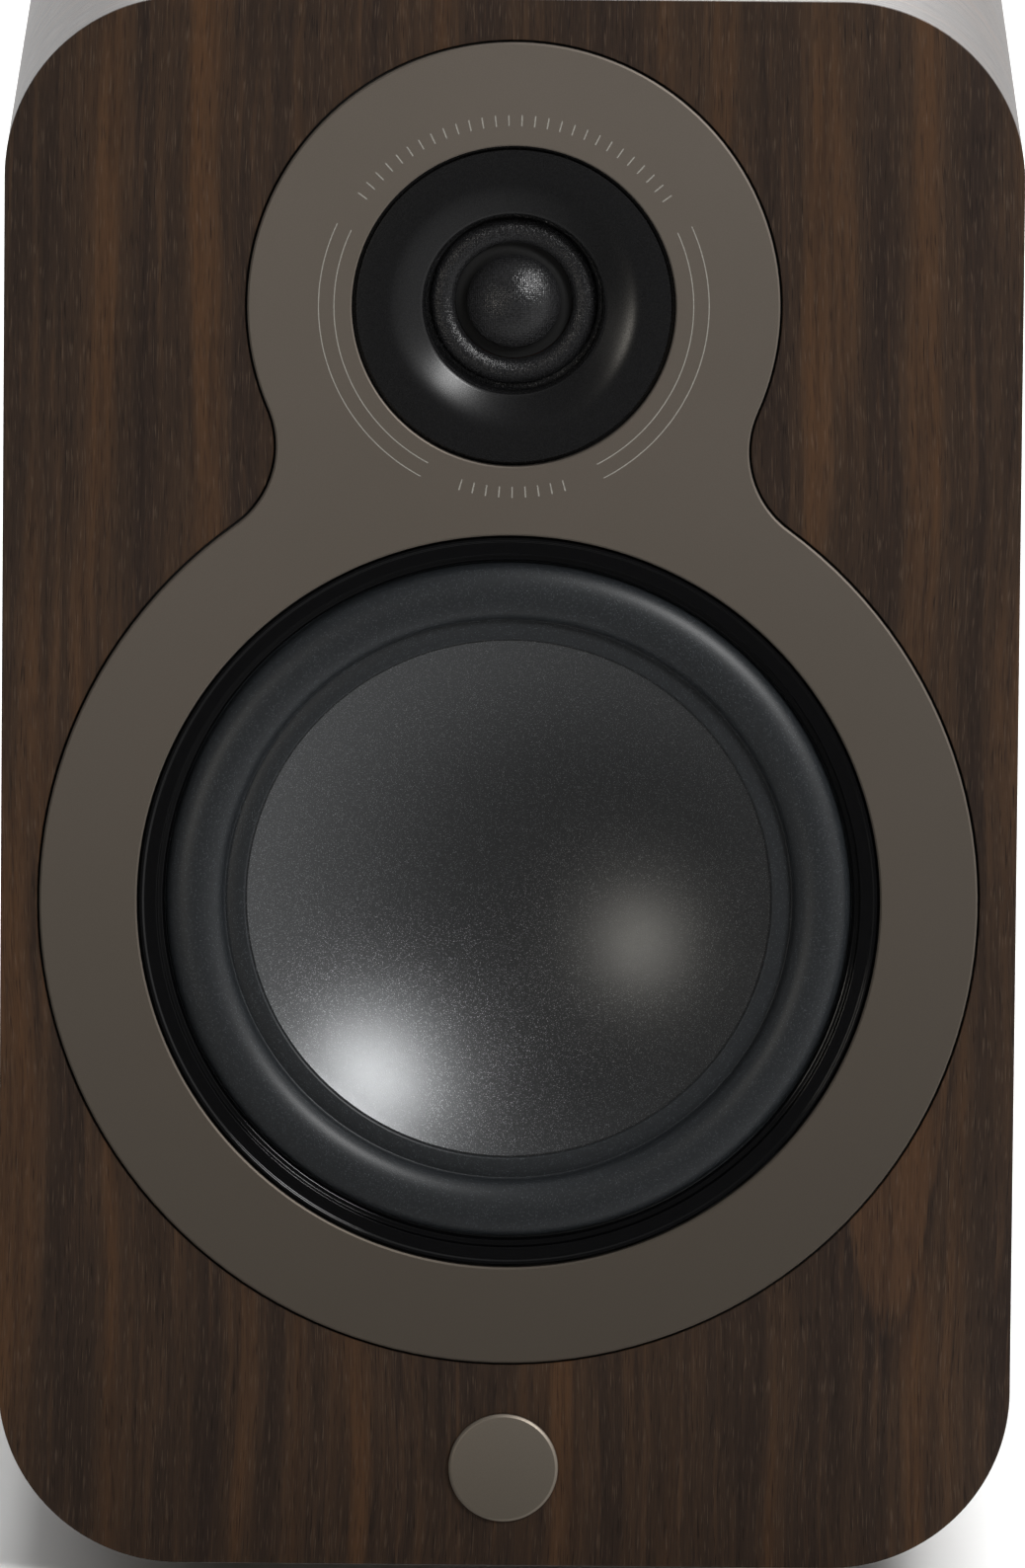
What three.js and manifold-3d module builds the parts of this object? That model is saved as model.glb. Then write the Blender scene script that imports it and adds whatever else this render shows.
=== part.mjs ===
// A compact two-way bookshelf speaker: a veneered cabinet with a keyhole-shaped metal trim
// plate, a mid/bass driver, a dome tweeter, a rear port, screw terminals and a crossover.
// Millimetres, +Z up, the front faces -Y, and the origin is on the floor under the middle.
import * as THREE from 'three';
import { mergeVertices } from 'three/addons/utils/BufferGeometryUtils.js';
import Module from 'manifold-3d';

const wasm = await Module();
wasm.setup();

// ---- Fits -------------------------------------------------------------------------------
const glueGap = 0.1;
const fitGap = 0.3;
const rebateGap = 0.4;
const through = 1;

// ---- Cabinet ----------------------------------------------------------------------------
const cabinetWidth = 165;
const cabinetHeight = 258;
const cabinetDepth = 218;
const cornerRadius = 29.5;
const veneer = 0.6;
const wall = 12;
const baffleThickness = 18;
const backThickness = 12;
const braceThickness = 12;
const braceBorder = 14;
const braceSetback = 88;
const footRadius = 8;
const footHeight = 2.5;
const footTaper = 1;
const footInset = 40;
const footEndInset = 26;
const waddingThickness = 12;
const waddingLength = 70;
const waddingSkirt = 92;

// ---- Trim plate and badge ---------------------------------------------------------------
const trimThickness = 2;
const trimProud = 0.5;
const neckRadius = 16;
const badgeRadius = 8.95;
const badgeThickness = 0.8;
const badgeHeight = 16.4;

// ---- Mid/bass driver --------------------------------------------------------------------
const driverSpacing = 97.9;
const coneRadius = 42.4;
const coneDepth = 13.4;
const coneThickness = 0.8;
const coneRim = 3.1;
const coneEdgeDepth = 3.5;
const rollOffset = 3.9;
const rollWidth = 9.3;
const rollHeight = 3.2;
const rubber = 0.7;
const surroundLip = 4.4;
const apertureMargin = 4.8;
const wooferBorder = 15.8;
const flangeMargin = 2.6;
const flangeThickness = 4;
const gasketThickness = 1;
const earOffset = 5.1;
const earRadius = 6.5;
const basketDepth = 34;
const basketWall = 3;
const basketLap = 0.8;
const basketCollar = 5;
const basketCollarBevel = 1.5;
const basketFoot = 3;
const basketFootWidth = 1;
const spiderLedge = 5;
const plateSeat = 2;
const basketWindows = 6;
const windowSetback = 3;
const windowClearance = 0.6;
const windowOverreach = 2;
const windowEnd = 0.4;
const windowAngle = THREE.MathUtils.degToRad(44);
const spiderRadius = 34.5;
const spiderPlay = 0.5;
const spiderFlat = 3;
const spiderSetback = 8.3;
const spiderThickness = 0.6;
const spiderWave = 1.4;
const voiceCoilRadius = 12.4;
const formerWall = 0.3;
const windingWall = 0.35;
const windingLength = 13;
const polePlay = 0.4;
const platePlay = 0.5;
const topPlateRadius = 35;
const topPlateThickness = 5;
const magnetRadius = 40;
const magnetThickness = 14;
const magnetWindow = 4.5;
const yokeRadius = 37;
const yokeThickness = 5;
const poleVent = 3.5;
const ringLip = 1.6;
const ringRecess = 0.4;
const ringStep = 1.5;
const coneLap = 0.2;
const formerTail = 1;
const tabWidth = 13;
const tabHeight = 16;
const tabThickness = 1.6;
const tabSetback = 0.8;
const lugWidth = 7;
const lugHeight = 4;
const lugInset = 5;
const lugPitch = 8;
const lugProud = 0.8;

// ---- Tweeter ----------------------------------------------------------------------------
const tweeterDrop = 50.1;
const tweeterBorder = 16.85;
const tweeterAperture = 26.25;
const facePlay = 0.65;
const hornMouth = 20;
const hornThroat = 14.3;
const hornDepth = 4.8;
const domeRadius = 10;
const domeSphere = 11.5;
const domeThickness = 0.4;
const domeRollWidth = 2.9;
const domeRollHeight = 1.3;
const faceFlange = 30;
const faceEarOffset = 32;
const faceEarRadius = 4.8;
const faceDepth = 6.4;
const faceFlangeThickness = 2.5;
const tipRadius = 9.3;
const tipThickness = 2.4;
const slugRadius = 8.2;
const slugThickness = 5;
const cupWall = 3.6;
const cupFloor = 3;
const coilWall = 0.5;
const coilLength = 4.4;
const housingRadius = 22;
const housingDepth = 22;
const housingWall = 2.5;
const housingBevel = 3;
const housingSeat = 0.5;
const faceStep = 1;
const tipSetback = 0.9;
const tipPlay = 0.2;
const cupPlay = 0.6;
const cupLap = 2;
const domeLap = 0.2;
const domeRollRim = 1.5;

// ---- Port and terminals -----------------------------------------------------------------
const portRadius = 17;
const portWall = 2.5;
const portLength = 92;
const portFlare = 6;
const portFlange = 29;
const portFlangeThickness = 2.5;
const portFlangeBevel = 0.8;
const portInnerLip = 1.5;
const portDrop = 66;
const terminalWidth = 72;
const terminalHeight = 54;
const terminalThickness = 3;
const terminalCorner = 6;
const terminalBorder = 11;
const terminalCentre = 62;
const postSpacing = 19.05;
const studRadius = 3;
const socketRadius = 2.05;
const socketDepth = 15;
const studInside = 14;
const collarRadius = 6.2;
const collarThickness = 2.5;
const capRadius = 6.8;
const capLength = 14;
const capBevel = 1;
const studProud = 0.6;
const socketTaper = 1;
const nutRadius = 5.4;
const nutThickness = 4;

// ---- Crossover --------------------------------------------------------------------------
const boardWidth = 92;
const boardLength = 64;
const boardThickness = 1.6;
const boardGap = 5;
const inductorMargin = 3;
const componentGap = 4;
const leadMargin = 9;
const inductorRadius = 19;
const inductorBore = 9;
const inductorHeight = 15;
const capacitorRadius = 8;
const capacitorLength = 34;
const resistorLength = 24;
const resistorSize = 8;
const leadWidth = 4.6;
const leadThickness = 2.4;

// ---- Screws -----------------------------------------------------------------------------
const screwRadius = 1.75;
const screwHead = 3.2;
const screwHeadHeight = 1.9;
const screwLength = 14;
const screwBevel = 0.8;

// ---- Fineness of round shapes -----------------------------------------------------------
const arcStep = THREE.MathUtils.degToRad(11.25);
const ringSegments = 36;
const coilSegments = 24;
const smallSegments = 12;
const screwSegments = 8;
const leadSteps = 16;
const leadSides = 6;

// ---- Places worked out from the sizes above ---------------------------------------------
const tweeter = { x: 0, z: cabinetHeight - tweeterDrop };
const woofer = { x: 0, z: tweeter.z - driverSpacing };
const port = { x: 0, z: cabinetHeight - portDrop };
const boardFace = veneer + glueGap;
const baffleBack = boardFace + baffleThickness;
const backFront = cabinetDepth - backThickness;
const carcassInset = veneer + glueGap;
const rebateFloor = trimThickness - trimProud + glueGap;
const rollInner = coneRadius + rollOffset;
const rollOuter = rollInner + rollWidth;
const apertureRadius = rollOuter + apertureMargin;
const wooferLobe = apertureRadius + wooferBorder;
const tweeterLobe = tweeterAperture + tweeterBorder;

// ---- Shape helpers ----------------------------------------------------------------------

// Turns closed triangles into a solid with its faces pointing outwards.
function solidOf(geometry) {
  geometry.deleteAttribute('normal');
  geometry.deleteAttribute('uv');
  const merged = mergeVertices(geometry, 1e-4);
  const corners = merged.getAttribute('position').array;
  const triangles = [];
  let volume = 0;
  for (let i = 0; i < merged.index.count; i += 3) {
    const [a, b, c] = [0, 1, 2].map((k) => merged.index.getX(i + k));
    if (a === b || b === c || c === a) continue;
    triangles.push([a, b, c]);
    const [p, q, r] = [a, b, c].map((k) => new THREE.Vector3().fromArray(corners, 3 * k));
    volume += p.dot(q.cross(r));
  }
  const outward = triangles.map(([a, b, c]) => (volume < 0 ? [a, c, b] : [a, b, c]));
  return new wasm.Manifold(new wasm.Mesh({
    numProp: 3,
    vertProperties: new Float32Array(corners),
    triVerts: new Uint32Array(outward.flat()),
  }));
}

function geometryOf(solid) {
  const mesh = solid.getMesh();
  const geometry = new THREE.BufferGeometry();
  geometry.setAttribute('position', new THREE.BufferAttribute(mesh.vertProperties, mesh.numProp));
  geometry.setIndex(new THREE.BufferAttribute(mesh.triVerts, 1));
  geometry.computeVertexNormals();
  return geometry;
}

// A solid of revolution about an axis along Y through the given centre. The profile is a
// list of [radius, y] that closes on itself.
function turned(profile, centre, segments = ringSegments) {
  const points = [...profile, profile[0]].map(([radius, y]) => new THREE.Vector2(radius, y));
  const geometry = new THREE.LatheGeometry(points, segments);
  geometry.translate(centre.x, 0, centre.z);
  return solidOf(geometry);
}

function disc(radius, front, back, centre, segments = ringSegments) {
  return turned([[0, front], [radius, front], [radius, back], [0, back]], centre, segments);
}

function ring(inner, outer, front, back, centre, segments = ringSegments) {
  return turned([[inner, front], [outer, front], [outer, back], [inner, back]], centre, segments);
}

// A solid of revolution about an upright axis. The profile is a list of [radius, z].
function upright(profile, x, y, segments) {
  const points = [...profile, profile[0]].map(([radius, z]) => new THREE.Vector2(radius, z));
  const geometry = new THREE.LatheGeometry(points, segments);
  geometry.rotateX(Math.PI / 2);
  geometry.translate(x, y, 0);
  return solidOf(geometry);
}

// A flat outline in x and z, given thickness from front to back along Y.
function plate(outline, front, back) {
  const geometry = new THREE.ExtrudeGeometry(new THREE.Shape(outline), {
    depth: back - front,
    bevelEnabled: false,
  });
  geometry.rotateX(Math.PI / 2);
  geometry.translate(0, back, 0);
  return solidOf(geometry);
}

function block(low, high) {
  const size = high.map((value, k) => value - low[k]);
  const geometry = new THREE.BoxGeometry(...size);
  geometry.translate(...low.map((value, k) => value + size[k] / 2));
  return solidOf(geometry);
}

function arc(x, z, radius, from, to) {
  const steps = Math.max(2, Math.ceil(Math.abs(to - from) / arcStep));
  return Array.from({ length: steps + 1 }, (_, i) => {
    const angle = from + ((to - from) * i) / steps;
    return new THREE.Vector2(x + radius * Math.cos(angle), z + radius * Math.sin(angle));
  });
}

function roundedBox(width, height, radius, centreZ) {
  const x = width / 2 - radius;
  const z = height / 2 - radius;
  return [[x, z], [-x, z], [-x, -z], [x, -z]].flatMap(([cornerX, cornerZ], i) => (
    arc(cornerX, centreZ + cornerZ, radius, (i * Math.PI) / 2, ((i + 1) * Math.PI) / 2)
  ));
}

// The cabinet's outline, moved inwards by the given distance.
function cabinetOutline(inset) {
  return roundedBox(
    cabinetWidth - 2 * inset,
    cabinetHeight - 2 * inset,
    Math.max(cornerRadius - inset, 1),
    cabinetHeight / 2,
  );
}

// Two round lobes joined by a hollow-sided neck, grown outwards by the given distance.
function keyholeOutline(growth) {
  const upper = tweeterLobe + growth;
  const lower = wooferLobe + growth;
  const hollow = neckRadius - growth;
  const upperReach = upper + hollow;
  const lowerReach = lower + hollow;
  const drop = (driverSpacing ** 2 + upperReach ** 2 - lowerReach ** 2) / (2 * driverSpacing);
  const side = Math.sqrt(upperReach ** 2 - drop ** 2);
  const upperAngle = Math.atan2(-drop, side);
  const lowerAngle = Math.atan2(driverSpacing - drop, side);
  const neckZ = tweeter.z - drop;
  return [
    ...arc(0, tweeter.z, upper, upperAngle, Math.PI - upperAngle),
    ...arc(-side, neckZ, hollow, -upperAngle, -lowerAngle).slice(1, -1),
    ...arc(0, woofer.z, lower, Math.PI - lowerAngle, 2 * Math.PI + lowerAngle),
    ...arc(side, neckZ, hollow, Math.PI + lowerAngle, Math.PI + upperAngle).slice(1, -1),
  ];
}

function around(centre, radius, angle) {
  return { x: centre.x + radius * Math.cos(angle), z: centre.z + radius * Math.sin(angle) };
}

// A sector of a ring, from one angle to another about a centre.
function sector(centre, inner, outer, middle, spread, front, back) {
  const from = middle - spread / 2;
  const to = middle + spread / 2;
  const outline = [
    ...arc(centre.x, centre.z, outer, from, to),
    ...arc(centre.x, centre.z, inner, to, from),
  ];
  return plate(outline, front, back);
}

function joined(solids) {
  return solids.reduce((whole, solid) => whole.add(solid));
}

// ---- The model --------------------------------------------------------------------------
const speaker = new THREE.Group();
const body = new THREE.Group();
speaker.add(body);

function part(name, solid, color, roughness, metalness = 0) {
  const material = new THREE.MeshStandardMaterial({ color, roughness, metalness });
  const mesh = new THREE.Mesh(geometryOf(solid), material);
  mesh.name = name;
  body.add(mesh);
}

// A round-headed screw: the head starts at the given front and the shank runs back.
function screw(name, spot, headFront) {
  const headBack = headFront + screwHeadHeight;
  part(name, turned([
    [0, headFront],
    [screwHead, headFront],
    [screwHead, headBack],
    [screwRadius, headBack],
    [screwRadius, headFront + screwLength],
    [0, headFront + screwLength],
  ], spot, screwSegments), 0x2b2b2d, 0.4, 0.9);
}

function screwHole(spot, headFront) {
  const start = headFront - through;
  const shankEnd = headFront + screwLength + through;
  const headEnd = headFront + screwHeadHeight + glueGap;
  const shank = disc(screwRadius + fitGap, start, shankEnd, spot, screwSegments);
  return shank.add(disc(screwHead + fitGap, start, headEnd, spot, screwSegments));
}

// ---- Driver flanges, with the ears that take the screws ---------------------------------
const flangeFront = rebateFloor + glueGap;
const flangeBack = flangeFront + flangeThickness;
const flangeRadius = apertureRadius + flangeMargin;
const gasketBack = flangeBack + glueGap + gasketThickness;
const wooferScrews = [1, 3, 5, 7].map((eighth) => (
  around(woofer, apertureRadius + earOffset, (eighth * Math.PI) / 4)
));

function earedDisc(radius, centre, ears, ear, front, back) {
  return joined([
    disc(radius, front, back, centre),
    ...ears.map((spot) => disc(ear, front, back, spot, smallSegments)),
  ]);
}

const faceFlangeFront = rebateFloor + glueGap;
const faceFlangeBack = faceFlangeFront + faceFlangeThickness;
const tweeterScrews = [0, Math.PI].map((angle) => around(tweeter, faceEarOffset, angle));

// ---- Boards and veneers -----------------------------------------------------------------
const cavity = wall + carcassInset;
const basketInner = rollOuter - basketLap;
const basketThroat = basketInner + basketWall + fitGap;

const carcass = plate(cabinetOutline(carcassInset), baffleBack + glueGap, cabinetDepth)
  .subtract(plate(cabinetOutline(cavity), 0, cabinetDepth + through));
part('cabinet_shell', carcass, 0x8a6d4c, 0.85);

const baffle = [
  plate(keyholeOutline(rebateGap), 0, rebateFloor),
  earedDisc(flangeRadius + fitGap, woofer, wooferScrews, earRadius + fitGap, 0, gasketBack + glueGap),
  disc(basketThroat, 0, baffleBack + through, woofer),
  earedDisc(faceFlange + fitGap, tweeter, tweeterScrews, faceEarRadius + fitGap, 0,
    faceFlangeBack + glueGap),
  disc(housingRadius + 2 * fitGap, 0, baffleBack + through, tweeter),
  ...[...wooferScrews, ...tweeterScrews].map((spot) => (
    disc(screwRadius + fitGap, 0, baffleBack + through, spot, screwSegments)
  )),
].reduce((board, cut) => board.subtract(cut), plate(cabinetOutline(carcassInset), boardFace, baffleBack));
part('front_baffle', baffle, 0x8a6d4c, 0.85);

part('front_veneer', plate(cabinetOutline(0), 0, veneer)
  .subtract(plate(keyholeOutline(rebateGap), -through, veneer + through)), 0x372b24, 0.4);

part('side_veneer', plate(cabinetOutline(0), veneer + glueGap, cabinetDepth)
  .subtract(plate(cabinetOutline(veneer), 0, cabinetDepth + through)), 0x3d2c22, 0.35);

const brace = plate(cabinetOutline(cavity + fitGap), braceSetback, braceSetback + braceThickness)
  .subtract(plate(cabinetOutline(cavity + braceBorder), 0, cabinetDepth));
part('window_brace', brace, 0x8a6d4c, 0.85);

// ---- Trim plate and badge ---------------------------------------------------------------
part('trim_plate', plate(keyholeOutline(0), -trimProud, trimThickness - trimProud)
  .subtract(disc(apertureRadius, -trimThickness, trimThickness, woofer))
  .subtract(disc(tweeterAperture, -trimThickness, trimThickness, tweeter)), 0x5d574f, 0.38, 0.9);

const badgeFront = -glueGap - badgeThickness;
part('badge', disc(badgeRadius, badgeFront, -glueGap, { x: 0, z: badgeHeight }, coilSegments),
  0x5d574f, 0.38, 0.9);

// ---- Feet -------------------------------------------------------------------------------
const footX = cabinetWidth / 2 - footInset;
for (const [name, x, y] of [
  ['foot_front_left', -footX, footEndInset],
  ['foot_front_right', footX, footEndInset],
  ['foot_rear_left', -footX, cabinetDepth - footEndInset],
  ['foot_rear_right', footX, cabinetDepth - footEndInset],
]) {
  part(name, upright([
    [0, -footHeight],
    [footRadius - footTaper, -footHeight],
    [footRadius, -glueGap],
    [0, -glueGap],
  ], x, y, smallSegments), 0x1c1c1c, 0.9);
}

// ---- Mid/bass driver --------------------------------------------------------------------
const surroundBack = coneEdgeDepth - glueGap;
const surroundFront = surroundBack - rubber;
const rollMiddle = (rollInner + rollOuter) / 2;
const basketBack = flangeFront + basketDepth;
const ledge = basketBack - spiderSetback;
const windingOuter = voiceCoilRadius + formerWall + glueGap + windingWall;
const plateBore = windingOuter + platePlay;
const poleRadius = voiceCoilRadius - polePlay;
const topPlateFront = basketBack + glueGap;
const topPlateBack = topPlateFront + topPlateThickness;
const magnetFront = topPlateBack + glueGap;
const magnetBack = magnetFront + magnetThickness;
const yokeFront = magnetBack + glueGap;
const seatWall = apertureRadius + glueGap;
const basketShoulder = flangeBack + basketCollar;
const basketNeck = spiderRadius + spiderPlay;
const footOuter = basketNeck + basketWall + basketFootWidth;

const basketProfile = [
  [seatWall, flangeFront],
  [flangeRadius, flangeFront],
  [flangeRadius, flangeBack],
  [basketInner + basketWall, flangeBack],
  [basketInner + basketWall, basketShoulder + basketCollarBevel],
  [footOuter, ledge + basketFoot],
  [footOuter, basketBack],
  [plateBore + plateSeat, basketBack],
  [plateBore + plateSeat, basketBack - basketWall],
  [basketNeck - spiderLedge, basketBack - basketWall],
  [basketNeck - spiderLedge, ledge],
  [basketNeck, ledge],
  [basketInner, basketShoulder],
  [basketInner, coneEdgeDepth],
  [seatWall, coneEdgeDepth],
];
const windows = Array.from({ length: basketWindows }, (_, i) => sector(
  woofer,
  basketNeck + windowClearance,
  basketInner + basketWall + windowOverreach,
  ((i + 0.5) * 2 * Math.PI) / basketWindows,
  windowAngle,
  basketShoulder + windowSetback,
  ledge - windowEnd,
));
const ears = wooferScrews.map((spot) => (
  disc(earRadius, flangeFront, flangeBack, spot, smallSegments)
    .subtract(disc(flangeRadius - through, 0, flangeBack + through, woofer))
));
const basket = [...windows, ...wooferScrews.map((spot) => screwHole(spot, flangeFront))]
  .reduce((whole, cut) => whole.subtract(cut), joined([turned(basketProfile, woofer), ...ears]));
part('woofer_basket', basket, 0x1d1d1f, 0.5, 0.4);

const gasketFront = flangeBack + glueGap;
part('woofer_gasket', ring(basketThroat + fitGap, flangeRadius, gasketFront, gasketFront + gasketThickness,
  woofer), 0x232323, 0.95);

wooferScrews.forEach((spot, i) => screw(`woofer_screw_${i + 1}`, spot, flangeFront));

part('woofer_trim_ring', turned([
  [rollOuter + ringLip, ringRecess],
  [apertureRadius - rebateGap, ringRecess],
  [apertureRadius - rebateGap, surroundFront - glueGap],
  [rollOuter + fitGap, surroundFront - glueGap],
  [rollOuter + fitGap, ringStep],
  [rollOuter + ringLip, ringStep],
], woofer), 0x0a0a0b, 0.12);

function rollArc(inset, base, height) {
  return Array.from({ length: 7 }, (_, i) => {
    const angle = (i * Math.PI) / 6;
    return [
      rollMiddle - (rollWidth / 2 - inset) * Math.cos(angle),
      base - height * Math.sin(angle),
    ];
  });
}
part('woofer_surround', turned([
  [coneRadius + coneLap, surroundFront],
  ...rollArc(0, surroundFront, rollHeight),
  [rollOuter + surroundLip, surroundFront],
  [rollOuter + surroundLip, surroundBack],
  ...rollArc(rubber, surroundBack, rollHeight).reverse(),
  [coneRadius + coneLap, surroundBack],
], woofer), 0x2c2e30, 0.6);

// The cone is one dish, part of a sphere, with a flat rim that the surround is glued to.
const dishSphere = (coneRadius ** 2 + coneDepth ** 2) / (2 * coneDepth);
function dishFront(radius) {
  return coneEdgeDepth + coneDepth - dishSphere + Math.sqrt(dishSphere ** 2 - radius ** 2);
}
const dishRadii = Array.from({ length: 6 }, (_, i) => (coneRadius * i) / 5);
part('woofer_cone', turned([
  ...dishRadii.map((radius) => [radius, dishFront(radius)]),
  [coneRadius + coneRim, coneEdgeDepth],
  [coneRadius + coneRim, coneEdgeDepth + coneThickness],
  ...dishRadii.map((radius) => [radius, dishFront(radius) + coneThickness]).reverse(),
], woofer), 0x3c3d3e, 0.45, 0.3);

const formerFront = dishFront(voiceCoilRadius) + coneThickness + glueGap;
const gapMiddle = topPlateFront + topPlateThickness / 2;
const windingBack = gapMiddle + windingLength / 2;
part('woofer_coil_former', ring(voiceCoilRadius, voiceCoilRadius + formerWall, formerFront,
  windingBack + formerTail, woofer, coilSegments), 0x9a9a98, 0.35, 0.9);
part('woofer_coil_winding', ring(voiceCoilRadius + formerWall + glueGap, windingOuter,
  windingBack - windingLength, windingBack, woofer, coilSegments), 0xa8582a, 0.35, 0.9);

const spiderInner = voiceCoilRadius + formerWall + glueGap;
const spiderWaveStart = spiderInner + spiderFlat;
const spiderWaveEnd = basketNeck - spiderLedge;
const spiderBack = ledge - glueGap;
function spiderSide(base) {
  const waves = Array.from({ length: 9 }, (_, i) => [
    spiderWaveStart + ((spiderWaveEnd - spiderWaveStart) * i) / 8,
    base - spiderWave * Math.sin((i * Math.PI) / 2),
  ]);
  return [[spiderInner, base], ...waves, [spiderRadius, base]];
}
part('woofer_spider', turned([
  ...spiderSide(spiderBack - spiderThickness),
  ...spiderSide(spiderBack).reverse(),
], woofer, coilSegments), 0xb7843a, 0.9);

part('woofer_top_plate', ring(plateBore, topPlateRadius, topPlateFront, topPlateBack, woofer, coilSegments),
  0x8b8d90, 0.4, 0.9);
part('woofer_magnet', ring(plateBore + magnetWindow, magnetRadius, magnetFront, magnetBack, woofer,
  coilSegments), 0x2a2a2c, 0.7, 0.2);
part('woofer_pole_yoke', turned([
  [poleVent, topPlateFront],
  [poleRadius, topPlateFront],
  [poleRadius, yokeFront],
  [yokeRadius, yokeFront],
  [yokeRadius, yokeFront + yokeThickness],
  [poleVent, yokeFront + yokeThickness],
], woofer, coilSegments), 0x8b8d90, 0.4, 0.9);

const tabInner = footOuter + fitGap;
const tabBack = basketBack - tabSetback;
const tabFront = tabBack - tabThickness;
const lugs = [-lugPitch / 2, lugPitch / 2].map((offset) => block(
  [-tabInner - lugInset - lugWidth, tabFront - lugProud, woofer.z + offset - lugHeight / 2],
  [-tabInner - lugInset, tabBack + lugProud, woofer.z + offset + lugHeight / 2],
));
part('woofer_terminal', joined([
  block([-tabInner - tabWidth, tabFront, woofer.z - tabHeight / 2],
    [-tabInner, tabBack, woofer.z + tabHeight / 2]),
  ...lugs,
]), 0x7a4a25, 0.6);

// ---- Tweeter ----------------------------------------------------------------------------
function hornCurve() {
  return Array.from({ length: 5 }, (_, i) => {
    const angle = (i * Math.PI) / 8;
    return [
      hornMouth - (hornMouth - hornThroat) * Math.sin(angle),
      hornDepth - hornDepth * Math.cos(angle),
    ];
  });
}
const faceRadius = tweeterAperture - facePlay;
const faceplateProfile = [
  [faceRadius, 0],
  ...hornCurve(),
  [hornThroat, faceDepth],
  [housingRadius - faceStep, faceDepth],
  [housingRadius - faceStep, faceFlangeBack],
  [faceFlange, faceFlangeBack],
  [faceFlange, faceFlangeFront],
  [faceRadius, faceFlangeFront],
];
const faceEars = tweeterScrews.map((spot) => (
  disc(faceEarRadius, faceFlangeFront, faceFlangeBack, spot, smallSegments)
    .subtract(disc(faceFlange - through, 0, faceFlangeBack + through, tweeter))
));
const faceplate = tweeterScrews.map((spot) => screwHole(spot, faceFlangeFront))
  .reduce((whole, cut) => whole.subtract(cut), joined([turned(faceplateProfile, tweeter), ...faceEars]));
part('tweeter_faceplate', faceplate, 0x19191a, 0.4);
tweeterScrews.forEach((spot, i) => screw(`tweeter_screw_${i + 1}`, spot, faceFlangeFront));

const domeBase = faceDepth + glueGap;
const domeRollInner = domeRadius + domeLap;
const domeRollOuter = domeRollInner + domeRollWidth;
const domeRollMiddle = (domeRollInner + domeRollOuter) / 2;
function domeRollArc(inset, base) {
  return Array.from({ length: 5 }, (_, i) => {
    const angle = (i * Math.PI) / 4;
    return [
      domeRollMiddle - (domeRollWidth / 2 - inset) * Math.cos(angle),
      base - domeRollHeight * Math.sin(angle),
    ];
  });
}
part('tweeter_surround', turned([
  ...domeRollArc(0, domeBase),
  [hornThroat + domeRollRim, domeBase],
  [hornThroat + domeRollRim, domeBase + domeThickness],
  ...domeRollArc(domeThickness, domeBase + domeThickness).reverse(),
], tweeter, coilSegments), 0x161617, 0.5);

const domeDrop = Math.sqrt(domeSphere ** 2 - domeRadius ** 2);
function domeSide(inset) {
  return Array.from({ length: 6 }, (_, i) => {
    const radius = (domeRadius * i) / 5;
    const reach = Math.sqrt(domeSphere ** 2 - radius ** 2);
    return [radius, domeBase + domeThickness + domeDrop - reach + inset];
  });
}
part('tweeter_dome', turned([...domeSide(0), ...domeSide(domeThickness).reverse()], tweeter, coilSegments),
  0x242425, 0.45);

const motorFront = domeBase + 2 * domeThickness + glueGap;
const coilInner = domeRadius - coilWall;
part('tweeter_voice_coil', ring(coilInner, domeRadius, motorFront, motorFront + coilLength, tweeter,
  coilSegments), 0xa8582a, 0.35, 0.9);
const tipFront = motorFront + tipSetback;
const tipBack = tipFront + tipThickness;
const tipReach = Math.min(tipRadius, coilInner - tipPlay);
part('tweeter_pole_tip', disc(tipReach, tipFront, tipBack, tweeter, coilSegments), 0x8b8d90, 0.4, 0.9);
const slugFront = tipBack + glueGap;
const slugBack = slugFront + slugThickness;
part('tweeter_magnet', disc(slugRadius, slugFront, slugBack, tweeter, coilSegments), 0xb5b7ba, 0.3, 0.9);
const cupInner = domeRadius + cupPlay;
const cupOuter = cupInner + cupWall;
const cupBack = slugBack + glueGap + cupFloor;
part('tweeter_cup', turned([
  [cupInner, tipFront],
  [cupOuter, tipFront],
  [cupOuter, cupBack],
  [0, cupBack],
  [0, cupBack - cupFloor],
  [cupInner, cupBack - cupFloor],
], tweeter, coilSegments), 0x8b8d90, 0.4, 0.9);
const housingFront = faceDepth + glueGap;
const housingBack = housingFront + housingDepth;
const housingThroat = hornThroat + domeRollRim + fitGap;
const cupSeat = cupOuter - cupLap;
part('tweeter_rear_housing', turned([
  [housingThroat, housingFront],
  [housingRadius, housingFront],
  [housingRadius, housingBack - housingBevel],
  [housingRadius - housingBevel, housingBack],
  [0, housingBack],
  [0, housingBack - housingWall],
  [cupSeat, housingBack - housingWall],
  [cupSeat, cupBack + glueGap],
  [cupOuter + glueGap, cupBack + glueGap],
  [cupOuter + glueGap, motorFront + housingSeat],
  [housingThroat, motorFront + housingSeat],
], tweeter, coilSegments), 0x19191a, 0.6);

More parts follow.
